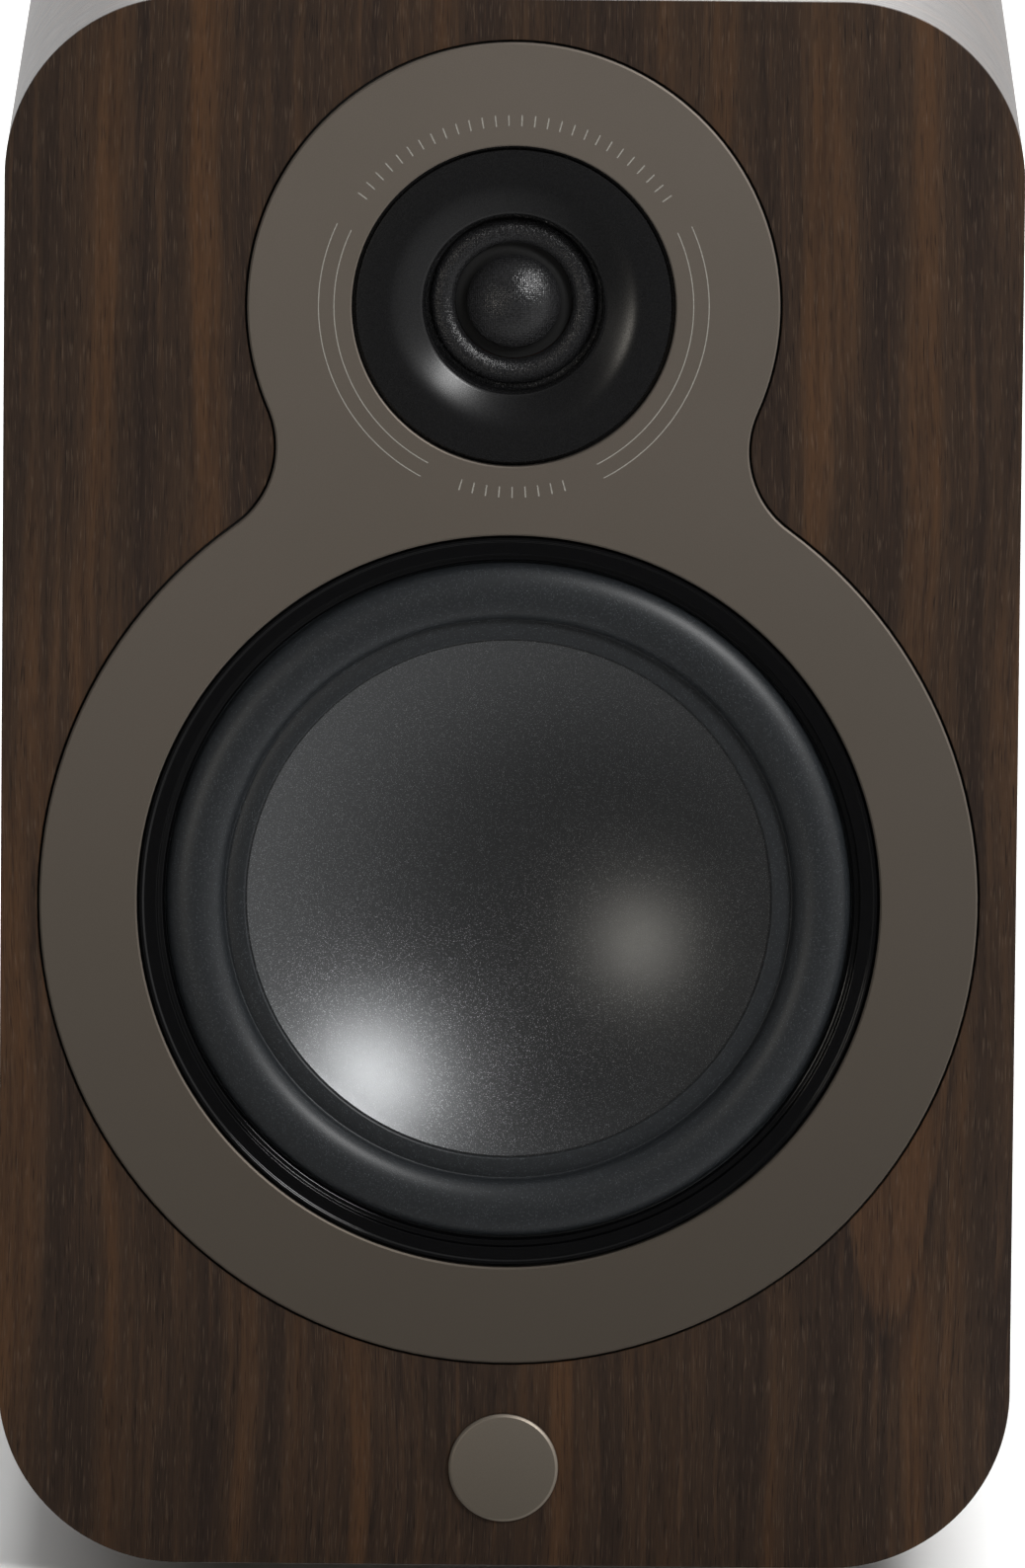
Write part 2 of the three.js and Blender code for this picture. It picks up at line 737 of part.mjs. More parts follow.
// ---- Back panel, port and terminals -----------------------------------------------------
const backOutline = cabinetOutline(cavity + glueGap);
const portOuter = portRadius + portWall;
const terminal = { x: 0, z: terminalCentre };
const cutoutWidth = terminalWidth - 2 * terminalBorder;
const cutoutHeight = terminalHeight - 2 * terminalBorder;
const terminalScrews = [[1, 1], [-1, 1], [-1, -1], [1, -1]].map(([sideX, sideZ]) => ({
  x: sideX * (terminalWidth / 2 - terminalBorder / 2),
  z: terminal.z + sideZ * (terminalHeight / 2 - terminalBorder / 2),
}));
const backPanel = [
  disc(portOuter + fitGap, 0, cabinetDepth + through, port, coilSegments),
  plate(roundedBox(cutoutWidth, cutoutHeight, terminalCorner, terminal.z), 0, cabinetDepth + through),
  ...terminalScrews.map((spot) => (
    disc(screwRadius + fitGap, 0, cabinetDepth + through, spot, screwSegments)
  )),
].reduce((panel, cut) => panel.subtract(cut), plate(backOutline, backFront, cabinetDepth));
part('back_panel', backPanel, 0x1c1b1a, 0.7);

const portMouth = cabinetDepth + glueGap + portFlangeThickness;
const portInnerEnd = portMouth - portLength;
function flare(end, direction) {
  return Array.from({ length: 5 }, (_, i) => {
    const angle = (i * Math.PI) / 8;
    return [
      portRadius + portFlare * (1 - Math.cos(angle)),
      end - direction * portFlare * (1 - Math.sin(angle)),
    ];
  });
}
part('port_tube', turned([
  ...flare(portMouth, 1),
  [portFlange, portMouth - portFlangeBevel],
  [portFlange, cabinetDepth + glueGap],
  [portOuter, cabinetDepth + glueGap],
  [portOuter, portInnerEnd + portFlare],
  [portRadius + portFlare + portInnerLip, portInnerEnd],
  ...flare(portInnerEnd, -1).reverse(),
], port, coilSegments), 0x161616, 0.45);

const terminalFront = cabinetDepth + glueGap;
const terminalBack = terminalFront + terminalThickness;
const posts = [
  { name: 'red', x: -postSpacing / 2, z: terminal.z, color: 0x8e1414 },
  { name: 'black', x: postSpacing / 2, z: terminal.z, color: 0x121212 },
];
const terminalPlate = [
  ...posts.map((post) => disc(studRadius + fitGap, 0, terminalBack + through, post, smallSegments)),
  ...terminalScrews.map((spot) => (
    disc(screwRadius + fitGap, 0, terminalBack + through, spot, screwSegments)
  )),
].reduce(
  (whole, cut) => whole.subtract(cut),
  plate(roundedBox(terminalWidth, terminalHeight, terminalCorner, terminal.z), terminalFront, terminalBack),
);
part('terminal_plate', terminalPlate, 0x161616, 0.5);

terminalScrews.forEach((spot, i) => {
  const headFront = terminalBack + glueGap;
  part(`terminal_screw_${i + 1}`, turned([
    [0, headFront - backThickness],
    [screwRadius, headFront - backThickness],
    [screwRadius, headFront],
    [screwHead, headFront],
    [screwHead - screwBevel, headFront + screwHeadHeight],
    [0, headFront + screwHeadHeight],
  ], spot, screwSegments), 0x2b2b2d, 0.4, 0.9);
});

const collarFront = terminalBack + glueGap;
const collarBack = collarFront + collarThickness;
const capFront = collarBack + glueGap;
const capBack = capFront + capLength;
const studBack = capBack + studProud;
for (const post of posts) {
  part(`post_stud_${post.name}`, turned([
    [0, terminalFront - studInside],
    [studRadius, terminalFront - studInside],
    [studRadius, studBack],
    [socketRadius, studBack],
    [socketRadius, studBack - socketDepth],
    [0, studBack - socketDepth - socketTaper],
  ], post, smallSegments), 0xc9a24e, 0.25, 1);
  part(`post_nut_${post.name}`, ring(studRadius + fitGap, nutRadius, terminalFront - nutThickness,
    terminalFront - glueGap, post, smallSegments), 0xc9a24e, 0.3, 1);
  part(`post_collar_${post.name}`, ring(studRadius + fitGap, collarRadius, collarFront, collarBack, post,
    smallSegments), 0x1a1a1a, 0.4);
  part(`post_cap_${post.name}`, turned([
    [studRadius + fitGap, capFront],
    [capRadius, capFront],
    [capRadius, capBack - capBevel],
    [capRadius - capBevel, capBack],
    [studRadius + fitGap, capBack],
  ], post, smallSegments), post.color, 0.35);
}

// ---- Crossover on the cabinet floor, behind the brace -----------------------------------
const boardFront = braceSetback + braceThickness + boardGap;
const boardBottom = cavity + glueGap;
const boardTop = boardBottom + boardThickness;
const boardMiddle = boardFront + boardLength / 2;
part('crossover_board', block(
  [-boardWidth / 2, boardFront, boardBottom],
  [boardWidth / 2, boardFront + boardLength, boardTop],
), 0x7a5a2c, 0.7);

const inductorX = -boardWidth / 2 + inductorRadius + inductorMargin;
const partsBottom = boardTop + glueGap;
part('crossover_inductor', upright([
  [inductorBore, partsBottom],
  [inductorRadius, partsBottom],
  [inductorRadius, partsBottom + inductorHeight],
  [inductorBore, partsBottom + inductorHeight],
], inductorX, boardMiddle, coilSegments), 0xa8582a, 0.4, 0.8);

const capacitorX = inductorX + inductorRadius + componentGap + capacitorRadius;
part('crossover_capacitor', turned([
  [0, boardMiddle - capacitorLength / 2],
  [capacitorRadius, boardMiddle - capacitorLength / 2],
  [capacitorRadius, boardMiddle + capacitorLength / 2],
  [0, boardMiddle + capacitorLength / 2],
], { x: capacitorX, z: partsBottom + capacitorRadius }, smallSegments), 0xb59a2a, 0.5);

const resistorX = capacitorX + capacitorRadius + componentGap;
part('crossover_resistor', block(
  [resistorX, boardMiddle - resistorLength / 2, partsBottom],
  [resistorX + resistorSize, boardMiddle + resistorLength / 2, partsBottom + resistorSize],
), 0xd8d4c8, 0.8);

// ---- Internal leads: flat twin wire along a smooth path ---------------------------------
const leadStart = boardTop + leadThickness / 2 + 1.2;
function lead(name, stops, color) {
  const path = new THREE.CatmullRomCurve3(stops.map((stop) => new THREE.Vector3(...stop)));
  const section = Array.from({ length: leadSides }, (_, i) => new THREE.Vector2(
    (leadThickness / 2) * Math.cos((2 * i * Math.PI) / leadSides),
    (leadWidth / 2) * Math.sin((2 * i * Math.PI) / leadSides),
  ));
  const geometry = new THREE.ExtrudeGeometry(new THREE.Shape(section), {
    steps: leadSteps,
    extrudePath: path,
    bevelEnabled: false,
  });
  part(name, solidOf(geometry), color, 0.6);
}
const leadX = boardWidth / 2 - leadMargin;
lead('woofer_lead', [
  [-leadX, boardFront + 8, leadStart],
  [-leadX, boardFront - 1, leadStart + braceBorder],
  [-leadX - 3, braceSetback - 8, woofer.z - 52],
  [-tabInner - 10, yokeFront + 6, woofer.z - 30],
  [-tabInner - 9, magnetFront, woofer.z - 6],
  [-tabInner - 8.5, basketBack + 4, woofer.z],
], 0x8e1f1f);
lead('tweeter_lead', [
  [leadX, boardFront + 8, leadStart],
  [leadX, boardFront - 1, leadStart + braceBorder],
  [leadX + 4, braceSetback - 6, woofer.z - 52],
  [leadX + 4, braceSetback - 10, woofer.z + 10],
  [leadX - 12, braceSetback - 26, tweeter.z - 30],
  [0, housingBack + 14, tweeter.z],
  [0, housingBack + 1, tweeter.z],
], 0x2a2a2c);
lead('input_lead', [
  [0, boardFront + boardLength - 6, leadStart],
  [0, boardFront + boardLength + 8, leadStart + 8],
  [0, terminalFront - studInside - 8, terminal.z - 18],
  [0, terminalFront - studInside + 1, terminal.z - 1],
], 0x2a2a2c);

// ---- Wadding: an arch that lines the sides and the top behind the brace -----------------
const waddingCut = [
  plate(cabinetOutline(cavity + fitGap + waddingThickness), 0, cabinetDepth),
  block([-cabinetWidth, 0, -through], [cabinetWidth, cabinetDepth, waddingSkirt]),
];
part('wadding_lining', waddingCut.reduce(
  (whole, cut) => whole.subtract(cut),
  plate(cabinetOutline(cavity + fitGap), boardFront, boardFront + waddingLength),
), 0xd9d6cf, 1);

// The origin is under the middle of the whole depth, badge face to stud ends.
body.position.set(0, -(badgeFront + studBack) / 2, footHeight);

export default speaker;
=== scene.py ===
import math

import bmesh
import bpy
from mathutils import Matrix, Vector, noise
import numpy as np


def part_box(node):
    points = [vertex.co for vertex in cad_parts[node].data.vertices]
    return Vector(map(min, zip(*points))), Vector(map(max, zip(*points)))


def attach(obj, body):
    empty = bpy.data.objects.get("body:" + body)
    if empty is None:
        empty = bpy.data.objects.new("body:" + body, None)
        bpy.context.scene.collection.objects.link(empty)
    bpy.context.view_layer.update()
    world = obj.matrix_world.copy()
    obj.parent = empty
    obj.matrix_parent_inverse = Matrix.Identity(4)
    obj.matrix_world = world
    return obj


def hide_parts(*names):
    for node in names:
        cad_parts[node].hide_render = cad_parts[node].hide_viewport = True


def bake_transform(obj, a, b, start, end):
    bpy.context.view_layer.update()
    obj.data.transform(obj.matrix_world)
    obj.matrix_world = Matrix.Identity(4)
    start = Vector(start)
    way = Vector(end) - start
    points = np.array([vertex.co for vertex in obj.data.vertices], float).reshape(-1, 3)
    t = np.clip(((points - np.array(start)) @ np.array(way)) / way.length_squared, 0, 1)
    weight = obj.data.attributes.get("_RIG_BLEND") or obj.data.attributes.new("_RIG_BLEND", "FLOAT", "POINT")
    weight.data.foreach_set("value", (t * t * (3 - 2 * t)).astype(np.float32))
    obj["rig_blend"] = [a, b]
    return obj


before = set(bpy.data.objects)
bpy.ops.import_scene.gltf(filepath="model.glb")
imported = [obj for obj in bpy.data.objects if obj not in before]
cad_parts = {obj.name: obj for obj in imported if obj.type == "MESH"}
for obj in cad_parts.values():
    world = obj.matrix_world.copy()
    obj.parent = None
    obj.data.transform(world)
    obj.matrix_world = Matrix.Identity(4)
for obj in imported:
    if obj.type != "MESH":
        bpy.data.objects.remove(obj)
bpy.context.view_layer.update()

MM = 0.001

# ---- Places taken from the frame --------------------------------------------------------


def middle(node):
    low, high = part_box(node)
    return (low + high) / 2


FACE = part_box("front_veneer")[0].y
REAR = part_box("back_panel")[1].y
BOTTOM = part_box("front_veneer")[0].z
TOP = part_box("front_veneer")[1].z
HALF_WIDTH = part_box("front_veneer")[1].x
WOOFER = middle("woofer_trim_ring")
TWEETER = middle("tweeter_dome")
PORT = middle("port_tube")
TERMINAL = middle("terminal_plate")
BADGE = middle("badge")

# ---- Sizes in millimetres ---------------------------------------------------------------

CORNER = 29.5
VENEER = 0.6
VENEER_GAP = 0.1
WALL = 12
BAFFLE_BACK = 18.7
PANEL_EDGE_GAP = 0.1
TRIM_FRONT = -0.5
TRIM_BACK = 1.5
PRINT_SKIN = 0.015
PORT_HOLE = 19.8
TWEETER_LOBE = 43.1
WOOFER_LOBE = 76.2
NECK = 16.0
TRIM_GAP = 0.4
WOOFER_HOLE = 60.4
TWEETER_HOLE = 26.25
CONE = 42.4
CONE_DEPTH = 13.4
CONE_EDGE = 3.5
ROLL_IN = 46.3
ROLL_OUT = 55.6
ARC_STEP = math.radians(2.5)

# ---- Camera -----------------------------------------------------------------------------

CAMERA_ELEVATION = math.radians(9.748)
CAMERA_ROLL = math.radians(0.528)
CAMERA_DISTANCE = 3.7795
CAMERA_LENS = 534.6
camera_target = Vector((0.0005, FACE, BOTTOM + 0.1295))


def add_camera():
    data = bpy.data.cameras.new("camera")
    data.lens = CAMERA_LENS
    camera = bpy.data.objects.new("camera", data)
    bpy.context.scene.collection.objects.link(camera)
    back = Vector((0, -math.cos(CAMERA_ELEVATION), math.sin(CAMERA_ELEVATION)))
    facing = back.to_track_quat("Z", "Y").to_matrix().to_4x4()
    camera.matrix_world = (
        Matrix.Translation(camera_target + back * CAMERA_DISTANCE)
        @ facing
        @ Matrix.Rotation(CAMERA_ROLL, 4, "Z")
    )
    bpy.context.scene.camera = camera


add_camera()

# ---- Mesh helpers -----------------------------------------------------------------------


def finish_mesh(name, mesh_data, sharp=32):
    """Turns a bmesh into a smooth-shaded object whose creases stay sharp."""
    bmesh.ops.recalc_face_normals(mesh_data, faces=mesh_data.faces)
    mesh = bpy.data.meshes.new(name)
    mesh_data.to_mesh(mesh)
    mesh_data.free()
    mesh.shade_smooth()
    mesh.set_sharp_from_angle(angle=math.radians(sharp))
    piece = bpy.data.objects.new(name, mesh)
    bpy.context.scene.collection.objects.link(piece)
    return piece


def eased(profile, radius, steps=3):
    """The closed profile with each corner turned into a small arc."""
    result = []
    for i, point in enumerate(profile):
        here = Vector(point)
        back = Vector(profile[i - 1]) - here
        ahead = Vector(profile[(i + 1) % len(profile)]) - here
        if point[0] < 1e-6 or back.angle(ahead) > math.radians(150):
            result.append(point)
            continue
        reach = min(radius, back.length * 0.45, ahead.length * 0.45)
        start = here + back.normalized() * reach
        end = here + ahead.normalized() * reach
        for k in range(steps + 1):
            t = k / steps
            spot = start * (1 - t) ** 2 + here * 2 * t * (1 - t) + end * t**2
            result.append((spot.x, spot.y))
    return result


def join_rings(bm, rings, closed=True):
    """Faces from each ring of vertices to the next; a ring may be a single vertex."""
    around = max(len(ring) for ring in rings)
    pairs = list(zip(rings, rings[1:]))
    if closed:
        pairs.append((rings[-1], rings[0]))
    for a, b in pairs:
        if len(a) == len(b) == 1:
            continue
        for k in range(around):
            n = (k + 1) % around
            corners = [a[k % len(a)], a[n % len(a)], b[n % len(b)], b[k % len(b)]]
            bm.faces.new(list(dict.fromkeys(corners)))


def loft(name, rows, sharp=32):
    """A solid through rows of points, closed at its first and last row."""
    bm = bmesh.new()
    loops = [[bm.verts.new(point) for point in row] for row in rows]
    join_rings(bm, loops, closed=False)
    bm.faces.new(loops[0])
    bm.faces.new(loops[-1][::-1])
    return finish_mesh(name, bm, sharp)


def lathe(name, profile, centre, segments=144, ease=0.0, ripple=None):
    """A solid turned about an axis along Y: (radius, depth behind the face) in mm."""
    if ease:
        profile = eased(profile, ease)
    bm = bmesh.new()
    rings = []
    for radius, depth in profile:
        if radius < 1e-6:
            rings.append([bm.verts.new((centre.x, FACE + depth * MM, centre.z))])
            continue
        ring = []
        for k in range(segments):
            angle = 2 * math.pi * k / segments
            reach = radius * (ripple(radius, depth, angle) if ripple else 1) * MM
            ring.append(bm.verts.new((
                centre.x + reach * math.cos(angle),
                FACE + depth * MM,
                centre.z + reach * math.sin(angle),
            )))
        rings.append(ring)
    join_rings(bm, rings)
    return finish_mesh(name, bm)


def ring(inner, outer, front, back):
    """The profile of a plain tube, or of a disc where the inner radius is 0."""
    return [(inner, front), (outer, front), (outer, back), (inner, back)]


def arc(x, z, radius, start, end):
    steps = max(2, round(abs(end - start) / ARC_STEP))
    return [
        (x + radius * math.cos(start + (end - start) * k / steps),
         z + radius * math.sin(start + (end - start) * k / steps))
        for k in range(steps + 1)
    ]


def rounded_box(width, height, radius, centre):
    """An outline function: given a growth in mm, the corners-rounded box in metres."""
    def outline(growth):
        corner = max(radius + growth, 0.05)
        x = width / 2 + growth - corner
        z = height / 2 + growth - corner
        points = []
        for i, (side_x, side_z) in enumerate(((1, 1), (-1, 1), (-1, -1), (1, -1))):
            quarter = arc(side_x * x, side_z * z, corner, i * math.pi / 2, (i + 1) * math.pi / 2)
            points += [(centre.x + a * MM, centre.z + b * MM) for a, b in quarter]
        return points
    return outline


def circle(centre, radius, segments=144):
    def outline(growth):
        reach = (radius + growth) * MM
        return [
            (centre.x + reach * math.cos(2 * math.pi * k / segments),
             centre.z + reach * math.sin(2 * math.pi * k / segments))
            for k in range(segments)
        ]
    return outline


def keyhole(growth):
    """Two lobes and a hollow neck, in metres, grown outwards by a distance in mm."""
    spacing = (TWEETER.z - WOOFER.z) / MM
    upper = TWEETER_LOBE + growth
    lower = WOOFER_LOBE + growth
    hollow = NECK - growth
    drop = (spacing**2 + (upper + hollow) ** 2 - (lower + hollow) ** 2) / (2 * spacing)
    side = math.sqrt((upper + hollow) ** 2 - drop**2)
    top_angle = math.atan2(-drop, side)
    low_angle = math.atan2(spacing - drop, side)
    points = arc(0, 0, upper, top_angle, math.pi - top_angle)
    points += arc(-side, -drop, hollow, -top_angle, -low_angle)[1:-1]
    points += arc(0, -spacing, lower, math.pi - low_angle, 2 * math.pi + low_angle)
    points += arc(side, -drop, hollow, math.pi + low_angle, math.pi + top_angle)[1:-1]
    return [(TWEETER.x + a * MM, TWEETER.z + b * MM) for a, b in points]


def plate(name, boundaries, datum=FACE):
    """A solid between closed loops. Each boundary is an outline and its (growth, depth)
    steps in mm from front to back; the first is the outside and the rest are holes."""
    bm = bmesh.new()
    fronts, backs = [], []
    for outline, steps in boundaries:
        loops = [
            [bm.verts.new((x, datum + depth * MM, z)) for x, z in outline(growth)]
            for growth, depth in steps
        ]
        join_rings(bm, loops, closed=False)
        for loop, rim in ((loops[0], fronts), (loops[-1], backs)):
            for k in range(len(loop)):
                pair = (loop[k], loop[(k + 1) % len(loop)])
                rim.append(bm.edges.get(pair) or bm.edges.new(pair))
    bmesh.ops.triangle_fill(bm, use_beauty=True, edges=fronts)
    bmesh.ops.triangle_fill(bm, use_beauty=True, edges=backs)
    return finish_mesh(name, bm)


def chamfered(front, back, cut, side=1):
    """Steps of a boundary with a small chamfer at both faces; side is -1 round a hole."""
    return [(-side * cut, front), (0, front + cut), (0, back - cut), (-side * cut, back)]


def place(piece, material, body="root", replaces=()):
    """Finishes a piece: its material, the body it rides on and what it stands for."""
    piece.data.materials.clear()
    piece.data.materials.append(material)
    if "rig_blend" not in piece:
        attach(piece, body)
    if replaces:
        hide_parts(*replaces)


def turn(name, profile, hub, material, node=None, body="root",
         segments=144, ease=0.0, ripple=None):
    """A lathed piece in its place; node is the CAD part that it stands for."""
    piece = lathe(name, profile, hub, segments, ease, ripple)
    place(piece, material, body, [node] if node else ())


def span(node):
    """Where a CAD part starts and ends, in mm behind the face."""
    return [(corner.y - FACE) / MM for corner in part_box(node)]


# ---- Material helpers -------------------------------------------------------------------


def srgb(red, green, blue):
    """A colour on the 0 to 255 scale, as linear light."""
    linear = [
        v / 12.92 if v <= 0.04045 else ((v + 0.055) / 1.055) ** 2.4
        for v in (red / 255, green / 255, blue / 255)
    ]
    return (*linear, 1)


def scaled(color, factor):
    """The colour made lighter or darker by a factor."""
    return tuple(min(1, c * factor) for c in color[:3]) + (1,)


def add_node(tree, kind, inputs=None, **settings):
    """A new shader node; an input is either a socket to link or a value to set."""
    made = tree.nodes.new(kind)
    for key, value in settings.items():
        setattr(made, key, value)
    for key, value in (inputs or {}).items():
        if isinstance(value, bpy.types.NodeSocket):
            tree.links.new(value, made.inputs[key])
        else:
            made.inputs[key].default_value = value
    return made


class Finish:
    """One node material, with short ways to add the nodes that textures need."""

    def __init__(self, name, color, **sockets):
        self.material = bpy.data.materials.new(name)
        self.material.use_nodes = True
        self.tree = self.material.node_tree
        self.shader = self.tree.nodes["Principled BSDF"]
        self.shader.inputs["Base Color"].default_value = color
        for key, value in sockets.items():
            self.shader.inputs[key.replace("_", " ").title().replace("Ior", "IOR")].default_value = value
        self.place = self.node("ShaderNodeTexCoord").outputs["Object"]

    def node(self, kind, inputs=None, **settings):
        return add_node(self.tree, kind, inputs, **settings)

    def math(self, operation, a, b=0.0, c=0.0):
        return self.node("ShaderNodeMath", {0: a, 1: b, 2: c}, operation=operation).outputs[0]

    def stretched(self, vector, scale):
        return self.node(
            "ShaderNodeVectorMath", {0: vector, 1: scale}, operation="MULTIPLY"
        ).outputs[0]

    def noise(self, vector, scale=1.0, detail=2.0, roughness=0.5, distortion=0.0):
        inputs = {"Vector": vector, "Scale": scale, "Detail": detail,
                  "Roughness": roughness, "Distortion": distortion}
        return self.node("ShaderNodeTexNoise", inputs).outputs["Fac"]

    def ramp(self, value, stops):
        made = self.node("ShaderNodeValToRGB", {"Fac": value})
        elements = made.color_ramp.elements
        elements[0].position, elements[0].color = stops[0]
        elements[1].position, elements[1].color = stops[-1]
        for position, color in stops[1:-1]:
            elements.new(position).color = color
        return made.outputs["Color"]

    def steps(self, value, low, high, start=0.0, end=1.0):
        inputs = {"Value": value, "From Min": low, "From Max": high, "To Min": start, "To Max": end}
        return self.node("ShaderNodeMapRange", inputs, clamp=True).outputs["Result"]

    def mix(self, factor, a, b):
        inputs = {0: factor, 6: a, 7: b}
        return self.node("ShaderNodeMix", inputs, data_type="RGBA").outputs[2]

    def set(self, socket, value):
        self.tree.links.new(value, self.shader.inputs[socket])

    def bump(self, height, distance, strength=1.0):
        made = self.node("ShaderNodeBump", {"Height": height, "Distance": distance, "Strength": strength})
        self.tree.links.new(made.outputs["Normal"], self.shader.inputs["Normal"])


def wood_finish(name, across, along, depth, roughness, coat, cathedral=None):
    """Dark open-pored veneer. across and along name the coordinates that the grain
    lies over and runs along; depth is the third. A cathedral is the tip of a pale
    pointed figure, in metres over and along the grain."""
    wood = Finish(name, srgb(55, 43, 36), coat_weight=coat, coat_roughness=0.22,
                  specular_ior_level=0.12)
    if across == "x":
        source = wood.place
    else:
        source = wood.node("ShaderNodeUVMap", uv_map="wrap").outputs["UV"]
    split = wood.node("ShaderNodeSeparateXYZ", {0: source}).outputs
    names = {"x": split[0], "y": split[1], "z": split[2]}
    grain = wood.node(
        "ShaderNodeCombineXYZ", {0: names[across], 1: names[depth], 2: names[along]}
    ).outputs[0]
    wander = wood.noise(wood.stretched(grain, (14, 0, 9)), detail=2)
    sway = wood.node("ShaderNodeCombineXYZ", {0: wood.math("MULTIPLY", wander, 0.008)}).outputs[0]
    grain = wood.node("ShaderNodeVectorMath", {0: grain, 1: sway}, operation="ADD").outputs[0]

    bands = wood.noise(wood.stretched(grain, (120, 0, 5.5)), detail=2.5, roughness=0.55)
    streaks = wood.noise(wood.stretched(grain, (700, 0, 24)), detail=3, roughness=0.6)
    fibres = wood.noise(wood.stretched(grain, (3200, 0, 150)), detail=2.5, roughness=0.6)
    flecks = wood.noise(wood.stretched(grain, (4800, 0, 230)), detail=1)
    pores = wood.noise(wood.stretched(grain, (4100, 0, 170)), detail=1)

    tone = wood.ramp(bands, [
        (0.30, srgb(44, 34, 29)),
        (0.44, srgb(52, 40, 32)),
        (0.54, srgb(60, 45, 34)),
        (0.68, srgb(76, 53, 35)),
    ])
    if cathedral:
        rise = wood.math("SUBTRACT", names[along], cathedral[1])
        aside = wood.math("SUBTRACT", names[across], cathedral[0])
        bend = wood.math("MULTIPLY", wood.math("POWER", wood.math("ABSOLUTE", aside), 2.0), 430)
        inside = wood.math("SUBTRACT", rise, bend)
        edge = wood.math("ADD", inside, wood.math("MULTIPLY", fibres, 0.012))
        point = wood.math("MULTIPLY", wood.steps(edge, 0.004, 0.009), wood.steps(rise, 0.055, 0.02))
        tone = wood.mix(wood.math("MULTIPLY", point, 0.75), tone, srgb(74, 52, 36))
        rim = wood.math("MULTIPLY", wood.steps(edge, -0.008, 0.003), wood.steps(edge, 0.006, 0.003))
        tone = wood.mix(wood.math("MULTIPLY", rim, 0.45), tone, srgb(34, 27, 25))
    tone = wood.mix(wood.steps(streaks, 0.50, 0.28, 0, 0.62), tone, srgb(36, 28, 24))
    tone = wood.mix(wood.steps(streaks, 0.54, 0.76, 0, 0.55), tone, srgb(84, 61, 43))
    tone = wood.mix(wood.steps(fibres, 0.48, 0.30, 0, 0.55), tone, srgb(32, 26, 23))
    tone = wood.mix(wood.steps(flecks, 0.60, 0.72, 0, 0.40), tone, srgb(100, 84, 70))
    dark = wood.steps(pores, 0.62, 0.70, 0, 0.6)
    wood.set("Base Color", wood.mix(dark, tone, srgb(22, 17, 15)))
    wood.set("Roughness", wood.steps(fibres, 0.3, 0.7, roughness + 0.08, roughness - 0.05))
    relief = wood.math("SUBTRACT", wood.math("MULTIPLY", fibres, 0.3), dark)
    wood.bump(relief, 0.00005, 0.6)
    return wood.material


def grained(name, color, scale, spread, bump, depth=0.00003, **sockets):
    """A surface with a fine even grain that varies its colour, roughness and height."""
    finish = Finish(name, color, **sockets)
    grain = finish.noise(finish.place, scale, detail=3, roughness=0.6)
    broad = finish.noise(finish.place, scale / 60, detail=2)
    light = scaled(color, 1 + spread)
    tone = finish.mix(finish.steps(grain, 0.3, 0.7), scaled(color, 1 - spread), light)
    finish.set("Base Color", finish.mix(finish.steps(broad, 0.3, 0.7, 0, 0.25), tone, light))
    rough = finish.shader.inputs["Roughness"].default_value
    finish.set("Roughness", finish.steps(grain, 0.25, 0.75, rough * 0.88, min(1, rough * 1.12)))
    finish.bump(grain, depth, bump)
    return finish.material


def anodised_with_painted_shade(name, shaded_low_color, lit_high_color, low, high, **sockets):
    """Satin anodised metal with painted shade: its colour is darker towards its lower end and lighter
    towards its upper end, as the light falls.
    """
    finish = Finish(name, shaded_low_color, **sockets)
    level = finish.node("ShaderNodeSeparateXYZ", {0: finish.place}).outputs[2]
    # Painted shade: the colour runs from the darker lower level to the lighter upper level, as the light
    # falls on the plate.
    tone = finish.mix(finish.steps(level, low, high), shaded_low_color, lit_high_color)
    cloud = finish.noise(finish.place, 38, detail=3)
    tone = finish.mix(finish.steps(cloud, 0.35, 0.65, 0, 0.1), tone, srgb(128, 122, 108))
    grain = finish.noise(finish.place, 5200, detail=3, roughness=0.6)
    finish.set("Base Color", finish.mix(finish.steps(grain, 0.3, 0.7, 0, 0.12), tone, srgb(96, 90, 82)))
    rough = finish.shader.inputs["Roughness"].default_value
    finish.set("Roughness", finish.steps(grain, 0.25, 0.75, rough - 0.04, rough + 0.05))
    finish.bump(grain, 0.00002, 0.12)
    return finish.material


def speckled(name, color, speck, scale, amount, **sockets):
    """A dark coated surface with small bright specks in it."""
    finish = Finish(name, color, **sockets)
    cells = finish.node("ShaderNodeTexVoronoi", {"Vector": finish.place, "Scale": scale}).outputs
    chance = finish.node("ShaderNodeSeparateColor", {0: cells["Color"]}).outputs[0]
    bright = finish.steps(chance, 1 - amount, 1)
    near = finish.steps(cells["Distance"], 0.5, 0.15)
    speckle = finish.math("MULTIPLY", bright, near)
    finish.set("Base Color", finish.mix(speckle, color, speck))
    grain = finish.noise(finish.place, scale * 0.8, detail=3)
    finish.bump(finish.math("ADD", grain, speckle), 0.00003, 0.5)
    return finish.material


